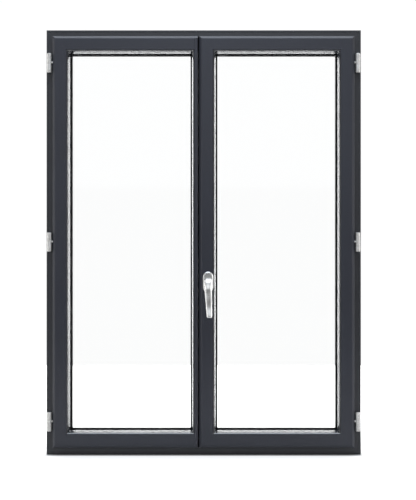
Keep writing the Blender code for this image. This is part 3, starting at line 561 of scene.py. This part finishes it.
clear, tree, shader = surface("clear_float_glass")
tree.nodes.remove(shader)
facing = tree.nodes.new("ShaderNodeLayerWeight")
facing.inputs["Blend"].default_value = 0.5
steepness = maths(tree, "POWER", facing.outputs["Facing"], 5.0)
passing = tree.nodes.new("ShaderNodeBsdfTransparent")
passing.inputs["Color"].default_value = (0.9930, 0.9945, 0.9942, 1.0)
mirror = tree.nodes.new("ShaderNodeBsdfGlossy")
mirror.inputs["Roughness"].default_value = 0.01
waves = tree.nodes.new("ShaderNodeBump")
waves.inputs["Strength"].default_value = 0.05
waves.inputs["Distance"].default_value = 0.0002
rolling = noise(tree, scale=7.0, detail=1.0, roughness=0.4, stretch=(1.0, 1.0, 0.15))
wire(tree, rolling, waves.inputs["Height"])
wire(tree, waves.outputs["Normal"], mirror.inputs["Normal"])
both = tree.nodes.new("ShaderNodeMixShader")
mirrored_share = spread(tree, steepness, HEAD_ON_MIRROR, GRAZING_MIRROR, start=0.0, end=1.0)
wire(tree, mirrored_share, both.inputs["Fac"])
wire(tree, passing.outputs["BSDF"], both.inputs[1])
wire(tree, mirror.outputs["BSDF"], both.inputs[2])
wire(tree, both.outputs["Shader"], tree.nodes["Material Output"].inputs["Surface"])

spacer_strip, tree, shader = surface("perforated_spacer")
clouds = noise(tree, scale=90.0, detail=3.0)
coated = blend_colours(tree, clouds, (0.0060, 0.0060, 0.0064), (0.0042, 0.0042, 0.0045))
wire(tree, coated, shader.inputs["Base Color"])
dullness = spread(tree, noise(tree, scale=200.0, detail=2.0), low=0.55, high=0.70)
wire(tree, dullness, shader.inputs["Roughness"])
shader.inputs["Specular IOR Level"].default_value = 0.2
holes = tree.nodes.new("ShaderNodeTexVoronoi")
holes.inputs["Scale"].default_value = 320.0
place = tree.nodes.new("ShaderNodeTexCoord")
wire(tree, place.outputs["Object"], holes.inputs["Vector"])
pierced = spread(tree, holes.outputs["Distance"], low=0.0, high=1.0, start=0.05, end=0.25)
raise_surface(tree, shader, pierced, strength=0.5, distance=0.0004)
for hand in openings:
    for node in (f"{hand}_inner_pane", f"{hand}_outer_pane"):
        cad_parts[node].material_slots[0].material = clear
    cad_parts[f"{hand}_spacer"].material_slots[0].material = spacer_strip

# ---- Lip rubbers and meeting rubber ----
# A bulb seal on the back of each lip shuts the leaf on the frame, and a third one, pushed into the
# slim stile, closes the gap between the leaves.
LIP_BULB_WIDTH = 0.006
RING_OVERRUN = 0.02
MEETING_ROOT_CORNER, MEETING_BULB_CORNER = 0.0004, 0.0020

# Each lip rubber is a ring with its side at the meeting stiles cut away.
for hand, keep_side in (("left", -1), ("right", 1)):
    low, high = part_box(f"{hand}_lip_gasket")
    low_x, high_x = (low.x, high.x + RING_OVERRUN) if hand == "left" else (low.x - RING_OVERRUN, high.x)
    lip_bulb = oval_section((0.0, low.y), (LIP_BULB_WIDTH, high.y))
    ring = led_round(lip_bulb, (low_x, low.z), (high_x, high.z))
    end_x = high.x if hand == "left" else low.x
    cut = bmesh.ops.bisect_plane(
        ring, geom=ring.verts[:] + ring.edges[:] + ring.faces[:], plane_co=(end_x, 0, 0),
        plane_no=(-keep_side, 0, 0), clear_outer=True,
    )["geom_cut"]
    bmesh.ops.holes_fill(ring, edges=[e for e in cut if isinstance(e, bmesh.types.BMEdge)], sides=0)
    lip_node = f"{hand}_lip_gasket"
    fit(f"{hand}_lip_rubber", ring, seal_rubber, f"{hand}_leaf", "black_rubber", lip_node, smooth=60)
low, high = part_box("meeting_gasket")
wide, deep = high.x - low.x, high.y - low.y
bulb_section = [
    (0, 0, MEETING_ROOT_CORNER), (wide, 0, MEETING_BULB_CORNER), (wide, deep, MEETING_BULB_CORNER),
    (0, deep, MEETING_ROOT_CORNER),
]
bulb = lay(extruded(bulb_section, 0, high.z - low.z, 0, 0), "left", low)
fit("meeting_rubber", bulb, seal_rubber, "left_leaf", "black_rubber", "meeting_gasket")

# ---- Hinges ----
# Six lift-off hinges of turned steel, coated silver: the frame's knuckle carries a pin, the
# leaf's knuckle turns on it, and a stem on each screws into the bar behind.
PIN_RADIUS = 0.004
PIN_ROUNDING = 0.0008
BORE_RADIUS = 0.0042
BORE_ROUNDING = 0.0002
BORE_END_GAP = 0.002
SOCKET_RADIUS, SOCKET_DEPTH, SOCKET_ROUNDING = 0.0021, 0.003, 0.0003
END_ROUNDING = 0.0016
JOINT_GAP = 0.0004
JOINT_ROUNDING = 0.0004
RING_DEPTH = 0.0004
RING_START, RING_MIDDLE, RING_END = 0.0052, 0.0055, 0.0058
# A stem's side view: how far out from its middle, how far along it, and the rounding of that corner.
FRAME_STEM = (
    (0, 0.0055, 0), (0.0036, 0.0055, 0), (0.0036, 0.0085, 0), (0.0042, 0.0085, 0.0003),
    (0.0042, 0.0097, 0), (0, 0.0097, 0),
)
FRAME_STEM_DROP = 0.017
LEAF_STEM_START, LEAF_STEM_RADIUS = 0.0060, 0.0027
LEAF_FLANGE_RADIUS, LEAF_FLANGE_ROUNDING = 0.0032, 0.0003
LEAF_FLANGE_START, LEAF_FLANGE_END = 0.0012, 0.0002
LEAF_STEM_RISE = 0.0015
BARREL_SIDES, STEM_SIDES = 40, 24

hinge_silver, tree, shader = surface("hinge_silver")
shader.inputs["Metallic"].default_value = 0.55
clouds = noise(tree, scale=130.0, detail=5.0, roughness=0.7)
cloudy = spread(tree, clouds, low=0.0, high=1.0, start=0.35, end=0.65)
wire(tree, blend_colours(tree, cloudy, (0.66, 0.655, 0.64), (0.47, 0.46, 0.44)), shader.inputs["Base Color"])
dullness = spread(tree, noise(tree, scale=260.0, detail=3.0), low=0.30, high=0.48)
wire(tree, dullness, shader.inputs["Roughness"])
streaks = noise(tree, scale=500.0, detail=4.0, roughness=0.6, stretch=(1.0, 1.0, 0.15))
raise_surface(tree, shader, streaks, strength=0.25, distance=0.0001)


def turned(profile, sides):
    """A (radius, z, corner radius) profile spun about Z into a closed piece."""
    bm = bmesh.new()
    points = [bm.verts.new((radius, 0.0, z)) for radius, z, rounding in profile]
    for a, b in zip(points, points[1:]):
        bm.edges.new((a, b))
    for rounding in sorted({point[2] for point in profile if point[2]}):
        rounded = [point for point, given in zip(points, profile) if given[2] == rounding]
        bmesh.ops.bevel(
            bm, geom=rounded, offset=rounding, offset_type="OFFSET", segments=4, profile=0.5,
            affect="VERTICES", material=-1,
        )
    bmesh.ops.spin(
        bm, geom=bm.verts[:] + bm.edges[:], axis=(0, 0, 1), cent=(0, 0, 0), angle=2 * math.pi, steps=sides,
        use_merge=True,
    )
    bmesh.ops.remove_doubles(bm, verts=bm.verts[:], dist=0.00001)
    return bm


def merge(bm, other):
    """Adds one bmesh's shapes to another."""
    mesh = bpy.data.meshes.new("part")
    other.to_mesh(mesh)
    other.free()
    bm.from_mesh(mesh)
    bpy.data.meshes.remove(mesh)


for hand, out in (("left", -1), ("right", 1)):
    for level in ("bottom", "middle", "top"):
        frame_node, leaf_node = f"{hand}_{level}_frame_knuckle", f"{hand}_{level}_leaf_knuckle"
        lower_low, lower_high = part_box(frame_node)
        upper_low, upper_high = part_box(leaf_node)
        axis_x = (lower_low.x + lower_high.x) / 2
        radius = (lower_high.x - lower_low.x) / 2
        axis_y = lower_low.y + radius
        centre_z = (lower_low.z + upper_high.z) / 2
        joint = upper_low.z - centre_z
        bottom, top, pin_top = lower_low.z - centre_z, upper_high.z - centre_z, lower_high.z - centre_z
        at = Matrix.Translation((axis_x, axis_y, centre_z))
        socket_top, lower_top = bottom + SOCKET_DEPTH, joint - JOINT_GAP
        lower = turned([
            (0, socket_top, 0), (SOCKET_RADIUS, socket_top, 0), (SOCKET_RADIUS, bottom, SOCKET_ROUNDING),
            (radius, bottom, END_ROUNDING), (radius, bottom + RING_START, 0),
            (radius - RING_DEPTH, bottom + RING_MIDDLE, 0), (radius, bottom + RING_END, 0),
            (radius, lower_top, JOINT_ROUNDING), (PIN_RADIUS, lower_top, 0),
            (PIN_RADIUS, pin_top, PIN_ROUNDING), (0, pin_top, 0),
        ], BARREL_SIDES)
        stem = turned(FRAME_STEM, STEM_SIDES)
        stem_at = Matrix.Translation((0, 0, -FRAME_STEM_DROP)) @ Matrix.Rotation(-math.pi / 2, 4, "X")
        bmesh.ops.transform(stem, matrix=stem_at, verts=stem.verts[:])
        merge(lower, stem)
        bmesh.ops.transform(lower, matrix=at, verts=lower.verts[:])
        fit(f"{frame_node}_turned", lower, hinge_silver, "frame", "hinge_metal", frame_node, smooth=40)
        bore_top = pin_top + BORE_END_GAP
        upper = turned([
            (0, bore_top, 0), (BORE_RADIUS, bore_top, 0), (BORE_RADIUS, joint, BORE_ROUNDING),
            (radius, joint, JOINT_ROUNDING), (radius, top - RING_END, 0),
            (radius - RING_DEPTH, top - RING_MIDDLE, 0), (radius, top - RING_START, 0),
            (radius, top, END_ROUNDING), (0, top, 0),
        ], BARREL_SIDES)
        reach = abs(axis_x) - abs(left_outer_x if hand == "left" else right_outer_x)
        flange_start, flange_end = reach - LEAF_FLANGE_START, reach - LEAF_FLANGE_END
        stem = turned([
            (0, LEAF_STEM_START, 0), (LEAF_STEM_RADIUS, LEAF_STEM_START, 0),
            (LEAF_STEM_RADIUS, flange_start, 0), (LEAF_FLANGE_RADIUS, flange_start, LEAF_FLANGE_ROUNDING),
            (LEAF_FLANGE_RADIUS, flange_end, 0), (0, flange_end, 0),
        ], STEM_SIDES)
        stem_at = Matrix.Translation((0, 0, LEAF_STEM_RISE)) @ Matrix.Rotation(-out * math.pi / 2, 4, "Y")
        bmesh.ops.transform(stem, matrix=stem_at, verts=stem.verts[:])
        merge(upper, stem)
        bmesh.ops.transform(upper, matrix=at, verts=upper.verts[:])
        fit(f"{leaf_node}_turned", upper, hinge_silver, f"{hand}_leaf", "hinge_metal", leaf_node, smooth=40)

# ---- Handle ----
# A die-cast rosette snapped over two screws and a cast lever whose neck turns in it; both are
# bead blasted and plated a soft silver.
ROSETTE_SIDES = 64
ROSETTE_ROUNDING = 0.0032
ROSETTE_RIM = 0.0012
DISH_SLOPE, DISH_DEPTH = 0.0006, 0.0007
NECK_RADIUS = 0.0077
NECK_CLEARANCE = 0.0006
LEVER_SIDES = 16
CORNER_FULLNESS = 0.20

plated, tree, shader = surface("plated_silver")
shader.inputs["Metallic"].default_value = 1.0
toned = spread(tree, noise(tree, scale=70.0, detail=4.0), low=0.0, high=1.0)
wire(tree, blend_colours(tree, toned, (0.88, 0.88, 0.87), (0.78, 0.78, 0.77)), shader.inputs["Base Color"])
dullness = spread(tree, noise(tree, scale=150.0, detail=4.0, roughness=0.6), low=0.27, high=0.31)
wire(tree, dullness, shader.inputs["Roughness"])
raise_surface(tree, shader, noise(tree, scale=2200.0, detail=2.0), strength=0.18, distance=0.00004)

rose_low, rose_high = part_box("handle_rosette")
rose_radius, rose_depth = (rose_high.x - rose_low.x) / 2, rose_high.y - rose_low.y
rose_straight = (rose_high.z - rose_low.z) / 2 - rose_radius
spindle_point = Vector((spindle_x, leaf_front, spindle_z))
rosette = bmesh.new()
half_step = Matrix.Rotation(math.pi / ROSETTE_SIDES, 4, "Z")
bmesh.ops.create_circle(rosette, cap_ends=True, segments=ROSETTE_SIDES, radius=rose_radius, matrix=half_step)
upper_half = [vert for vert in rosette.verts if vert.co.y > 0]
lower_half = [vert for vert in rosette.verts if vert.co.y < 0]
bmesh.ops.translate(rosette, vec=(0, rose_straight, 0), verts=upper_half)
bmesh.ops.translate(rosette, vec=(0, -rose_straight, 0), verts=lower_half)
pushed = bmesh.ops.extrude_face_region(rosette, geom=rosette.faces[:])["geom"]
far = [item for item in pushed if isinstance(item, bmesh.types.BMVert)]
bmesh.ops.translate(rosette, vec=(0, 0, rose_depth), verts=far)


def front_of(bm):
    """The largest of a bmesh's foremost faces, while its front still looks along +Z."""
    return max(bm.faces, key=lambda face: (round(face.calc_center_median().z, 5), face.calc_area()))


bmesh.ops.bevel(
    rosette, geom=front_of(rosette).edges[:], offset=ROSETTE_ROUNDING, offset_type="OFFSET", segments=6,
    profile=0.5, affect="EDGES", material=-1,
)
bmesh.ops.inset_region(rosette, faces=[front_of(rosette)], thickness=ROSETTE_RIM, depth=0.0)
bmesh.ops.inset_region(rosette, faces=[front_of(rosette)], thickness=DISH_SLOPE, depth=-DISH_DEPTH)
about_spindle = Matrix.Translation(spindle_point) @ Matrix.Rotation(math.pi / 2, 4, "X")
bmesh.ops.transform(rosette, matrix=about_spindle, verts=rosette.verts[:])
rosette_piece = fit(
    "handle_rosette_cast", rosette, plated, "right_leaf", "handle_metal", "handle_rosette", smooth=30
)
neck_bore = bmesh.new()
bore_radius = NECK_RADIUS + NECK_CLEARANCE
bmesh.ops.create_cone(
    neck_bore, cap_ends=True, segments=40, radius1=bore_radius, radius2=bore_radius, depth=BORE_LENGTH,
    matrix=about_spindle,
)
mill(rosette_piece, neck_bore)

lever = bmesh.new()


def section_of_lever(centre, lean, width, thickness):
    """One soft-cornered section of the lever, its plane leaned from upright towards level."""
    made = bmesh.ops.create_circle(lever, segments=LEVER_SIDES, radius=1.0)["verts"]
    for vert in made:
        fuller = 1.0 + CORNER_FULLNESS * (2.0 * abs(vert.co.x * vert.co.y)) ** 2
        vert.co.x *= fuller * width / 2
        vert.co.y *= fuller * thickness / 2
    turn = Matrix.Translation(centre) @ Matrix.Rotation(lean, 4, "X") @ Matrix.Rotation(math.pi / 2, 4, "X")
    bmesh.ops.transform(lever, matrix=turn, verts=made)
    return list({edge for vert in made for edge in vert.link_edges})


# The lever's side view, from the neck over the domed head and the waist to the tip: how far out
# and up its front is, how far out and up its back is, then its width and its drift to the right.
LEVER_STATIONS = (
    (0.0030, 0.0077, 0.0030, -0.0077, 0.0154, 0.0000), (0.0110, 0.0077, 0.0110, -0.0077, 0.0154, 0.0000),
    (0.0165, 0.0084, 0.0165, -0.0084, 0.0168, 0.0003), (0.0240, 0.0104, 0.0245, -0.0100, 0.0198, 0.0008),
    (0.0320, 0.0124, 0.0320, -0.0125, 0.0216, 0.0010), (0.0385, 0.0116, 0.0355, -0.0150, 0.0220, 0.0011),
    (0.0437, 0.0058, 0.0375, -0.0180, 0.0221, 0.0012), (0.0479, -0.0020, 0.0385, -0.0215, 0.0221, 0.0014),
    (0.0506, -0.0110, 0.0388, -0.0255, 0.0220, 0.0016), (0.0522, -0.0205, 0.0390, -0.0300, 0.0217, 0.0019),
    (0.0521, -0.0290, 0.0390, -0.0360, 0.0212, 0.0023), (0.0508, -0.0390, 0.0388, -0.0430, 0.0207, 0.0027),
    (0.0493, -0.0500, 0.0386, -0.0520, 0.0201, 0.0031), (0.0483, -0.0620, 0.0385, -0.0630, 0.0192, 0.0037),
    (0.0482, -0.0730, 0.0386, -0.0735, 0.0184, 0.0042), (0.0496, -0.0840, 0.0392, -0.0840, 0.0177, 0.0047),
    (0.0519, -0.0950, 0.0408, -0.0950, 0.0168, 0.0052), (0.0539, -0.1050, 0.0428, -0.1050, 0.0160, 0.0056),
    (0.0531, -0.1096, 0.0442, -0.1096, 0.0138, 0.0056),
)
rings = []
for front_out, front_up, back_out, back_up, width, drift in LEVER_STATIONS:
    front, back = Vector((drift, -front_out, front_up)), Vector((drift, -back_out, back_up))
    across = front - back
    lean = math.atan2(-across.y, across.z)
    rings.append(section_of_lever((front + back) / 2, lean, width, across.length))
for ring, following in zip(rings, rings[1:]):
    bmesh.ops.bridge_loops(lever, edges=ring + following)
bmesh.ops.holes_fill(lever, edges=rings[0] + rings[-1], sides=0)
bmesh.ops.translate(lever, vec=spindle_point, verts=lever.verts[:])
lever_piece = fit("handle_lever_cast", lever, plated, "handle", "handle_metal", "handle_lever", smooth=60)
rounding = lever_piece.modifiers.new("rounding", "SUBSURF")
rounding.levels = 2
rounding.render_levels = 2

# ---- Lock and keeps ----
# A zinc-plated steel gearbox behind a long faceplate, flat rods that it drives up and down, the
# left leaf's two hand bolts, and an open-throated keep on the frame's head and sill.
WELD_DISTANCE = 0.00001
FLAT_WITHIN = math.radians(1)
SHARP_FROM = math.radians(25)
PLATE_ROUNDING = 0.0005

zinc, tree, shader = surface("zinc_plate")
shader.inputs["Metallic"].default_value = 0.9
spangle = tree.nodes.new("ShaderNodeTexVoronoi")
spangle.inputs["Scale"].default_value = 180.0
place = tree.nodes.new("ShaderNodeTexCoord")
wire(tree, place.outputs["Object"], spangle.inputs["Vector"])
crystals = spread(tree, spangle.outputs["Distance"], low=0.0, high=1.0, start=0.0, end=0.6)
spangled = blend_colours(tree, crystals, (0.60, 0.61, 0.61), (0.48, 0.49, 0.50))
wire(tree, spangled, shader.inputs["Base Color"])
dullness = spread(tree, noise(tree, scale=120.0, detail=4.0, roughness=0.6), low=0.30, high=0.50)
wire(tree, dullness, shader.inputs["Roughness"])
streaks = noise(tree, scale=800.0, detail=3.0, roughness=0.5, stretch=(1.0, 1.0, 0.1))
raise_surface(tree, shader, streaks, strength=0.2, distance=0.00006)
for node in ("gearbox_case", "handle_spindle"):
    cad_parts[node].material_slots[0].material = zinc

for node, body in (
    ("lock_faceplate", "right_leaf"), ("top_rod", "top_rod"), ("bottom_rod", "bottom_rod"),
    ("left_top_bolt", "left_top_bolt"), ("left_bottom_bolt", "left_bottom_bolt"),
    ("top_keep", "frame"), ("bottom_keep", "frame"),
):
    stamped = bmesh.new()
    stamped.from_mesh(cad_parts[node].data)
    bmesh.ops.remove_doubles(stamped, verts=stamped.verts[:], dist=WELD_DISTANCE)
    bmesh.ops.dissolve_limit(stamped, angle_limit=FLAT_WITHIN, verts=stamped.verts[:], edges=stamped.edges[:])
    sharp = [edge for edge in stamped.edges if edge.calc_face_angle(0) > SHARP_FROM]
    bmesh.ops.bevel(
        stamped, geom=sharp, offset=PLATE_ROUNDING, offset_type="OFFSET", segments=2, profile=0.5,
        affect="EDGES", clamp_overlap=True, material=-1,
    )
    fit(f"{node}_plated", stamped, zinc, body, "zinc_steel", node)

# ---- Stand, light and camera ----
# A pale floor under the window, with a painted contact shadow in front of the sill and a glow seen only in
# reflections, a bright even background behind it, a wide soft light overhead, another from the front of the
# room and one at each of its sides.
FLOOR_HALF_SIZE = 1.6
FLOOR_SET_BACK = 0.3
FLOOR_DROP = 0.0005
# Glow seen by the camera, glow seen only in reflections (a painted reflection of bright floor on the window's
# lower edges), and glow behind the window.
SEEN_GLOW, PAINTED_REFLECTION_GLOW, GLOW_BEHIND = 0.62, 0.22, 2.6
# The painted contact shadow on the floor fades in from this far in front of the sill and is full from this
# far in.
PAINTED_SHADOW_START, PAINTED_SHADOW_END = 0.018, 0.006

bpy.context.scene.view_settings.view_transform = "Standard"
floor_bm = bmesh.new()
floor_middle = Matrix.Translation((0, FLOOR_SET_BACK, cad_low.z - FLOOR_DROP))
bmesh.ops.create_grid(floor_bm, x_segments=1, y_segments=1, size=FLOOR_HALF_SIZE, matrix=floor_middle)
floor_mesh = bpy.data.meshes.new("floor")
floor_bm.to_mesh(floor_mesh)
floor_bm.free()
floor = bpy.data.objects.new("floor", floor_mesh)
bpy.context.collection.objects.link(floor)
pale, tree, shader = surface("pale_floor")
clouds = noise(tree, scale=12.0, detail=3.0)
wire(tree, blend_colours(tree, clouds, (0.42, 0.42, 0.42), (0.39, 0.39, 0.39)), shader.inputs["Base Color"])
shader.inputs["Roughness"].default_value = 0.9
# The floor glows behind the window and beyond its ends; a strip close in front of the sill is masked dark as
# a painted contact shadow.
rays = tree.nodes.new("ShaderNodeLightPath")
place = tree.nodes.new("ShaderNodeTexCoord")
split = tree.nodes.new("ShaderNodeSeparateXYZ")
wire(tree, place.outputs["Object"], split.inputs["Vector"])
behind = spread(tree, split.outputs["Y"], 0.0, GLOW_BEHIND, start=frame_low.y, end=0.5)
sideways = maths(tree, "ABSOLUTE", split.outputs["X"])
past_ends = spread(tree, sideways, low=0.0, high=1.0, start=0.496, end=0.510)
# Painted contact shadow: the floor's glow for camera and reflected rays fades out just in front of the sill,
# but not beyond the window's ends.
painted_shadow_start, painted_shadow_end = frame_low.y - PAINTED_SHADOW_START, frame_low.y - PAINTED_SHADOW_END
clear_of_painted_shadow = spread(tree, split.outputs["Y"], low=1.0, high=0.0, start=painted_shadow_start, end=painted_shadow_end)
floor_outside_painted_shadow = maths(tree, "MAXIMUM", past_ends, clear_of_painted_shadow)
seen_share = maths(tree, "MULTIPLY", rays.outputs["Is Camera Ray"], SEEN_GLOW)
seen = maths(tree, "MULTIPLY", floor_outside_painted_shadow, seen_share)
# Glow for reflected rays only: a painted reflection of bright floor on the window's downward chamfers.
mirrored_share = maths(tree, "MULTIPLY", rays.outputs["Is Glossy Ray"], PAINTED_REFLECTION_GLOW)
floor_painted_reflection = maths(tree, "MULTIPLY", floor_outside_painted_shadow, mirrored_share)
glow = maths(tree, "MAXIMUM", behind, maths(tree, "MAXIMUM", seen, floor_painted_reflection))
shader.inputs["Emission Color"].default_value = (1.0, 1.0, 1.0, 1.0)
wire(tree, glow, shader.inputs["Emission Strength"])
floor_mesh.materials.append(pale)
floor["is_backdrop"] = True

BACK_LIGHT, ROOM_LIGHT, DARK_CORNER = 4.0, 0.40, 0.10
SEEN_BACKGROUND = 1.02
world = bpy.data.worlds.new("studio")
bpy.context.scene.world = world
world.use_nodes = True
tree = world.node_tree
sky = tree.nodes["Background"]
direction = tree.nodes.new("ShaderNodeTexCoord")
split = tree.nodes.new("ShaderNodeSeparateXYZ")
wire(tree, direction.outputs["Generated"], split.inputs["Vector"])
room = spread(tree, split.outputs["Y"], DARK_CORNER, ROOM_LIGHT, start=-0.97, end=-0.78)
beyond = spread(tree, split.outputs["Y"], 0.0, BACK_LIGHT - ROOM_LIGHT, start=0.10, end=0.40)
wire(tree, maths(tree, "ADD", room, beyond), sky.inputs["Strength"])
seen = tree.nodes.new("ShaderNodeBackground")
rays = tree.nodes.new("ShaderNodeLightPath")
choice = tree.nodes.new("ShaderNodeMixShader")
wire(tree, rays.outputs["Is Camera Ray"], choice.inputs["Fac"])
wire(tree, sky.outputs["Background"], choice.inputs[1])
wire(tree, seen.outputs["Background"], choice.inputs[2])
wire(tree, choice.outputs["Shader"], tree.nodes["World Output"].inputs["Surface"])
sky.inputs["Color"].default_value = (1.0, 1.0, 1.0, 1.0)
seen.inputs["Color"].default_value = (1.0, 1.0, 1.0, 1.0)
seen.inputs["Strength"].default_value = SEEN_BACKGROUND

for name, place, aim, width, height, watts, tint in (
    ("overhead", (0.0, -0.9, 3.2), (0, 0, 1.2), 2.4, 1.6, 66.0, (0.80, 0.89, 1.0)),
    ("front_soft", (0.0, -4.2, 2.1), (0, 0, 0.6), 2.6, 1.9, 17.0, (0.92, 0.96, 1.0)),
    ("left_soft", (-2.2, -2.0, 0.9), (0, 0, 0.5), 0.9, 1.6, 12.0, (1.0, 1.0, 1.0)),
    ("right_soft", (2.2, -2.0, 0.9), (0, 0, 0.5), 0.9, 1.6, 12.0, (1.0, 1.0, 1.0)),
):
    lamp = bpy.data.lights.new(name, "AREA")
    lamp.shape = "RECTANGLE"
    lamp.size, lamp.size_y, lamp.energy, lamp.color = width, height, watts, tint
    holder = bpy.data.objects.new(name, lamp)
    holder.location = place
    holder.rotation_euler = (Vector(aim) - Vector(place)).to_track_quat("-Z", "Y").to_euler()
    bpy.context.collection.objects.link(holder)

EYE_DISTANCE = 2.5
EYE_RIGHT, EYE_HEIGHT = 0.080, 0.6509
SEEN_HEIGHT = 1.5908
SEEN_SHIFT = 0.0664
SENSOR_SIZE = 36.0
lens = bpy.data.cameras.new("camera")
lens.sensor_width = SENSOR_SIZE
lens.lens = SENSOR_SIZE * EYE_DISTANCE / SEEN_HEIGHT
lens.shift_x = -SEEN_SHIFT / SEEN_HEIGHT
camera = bpy.data.objects.new("camera", lens)
camera.location = (EYE_RIGHT, frame_low.y - EYE_DISTANCE, EYE_HEIGHT)
camera.rotation_euler = (math.pi / 2, 0, 0)
bpy.context.collection.objects.link(camera)
bpy.context.scene.camera = camera

low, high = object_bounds()
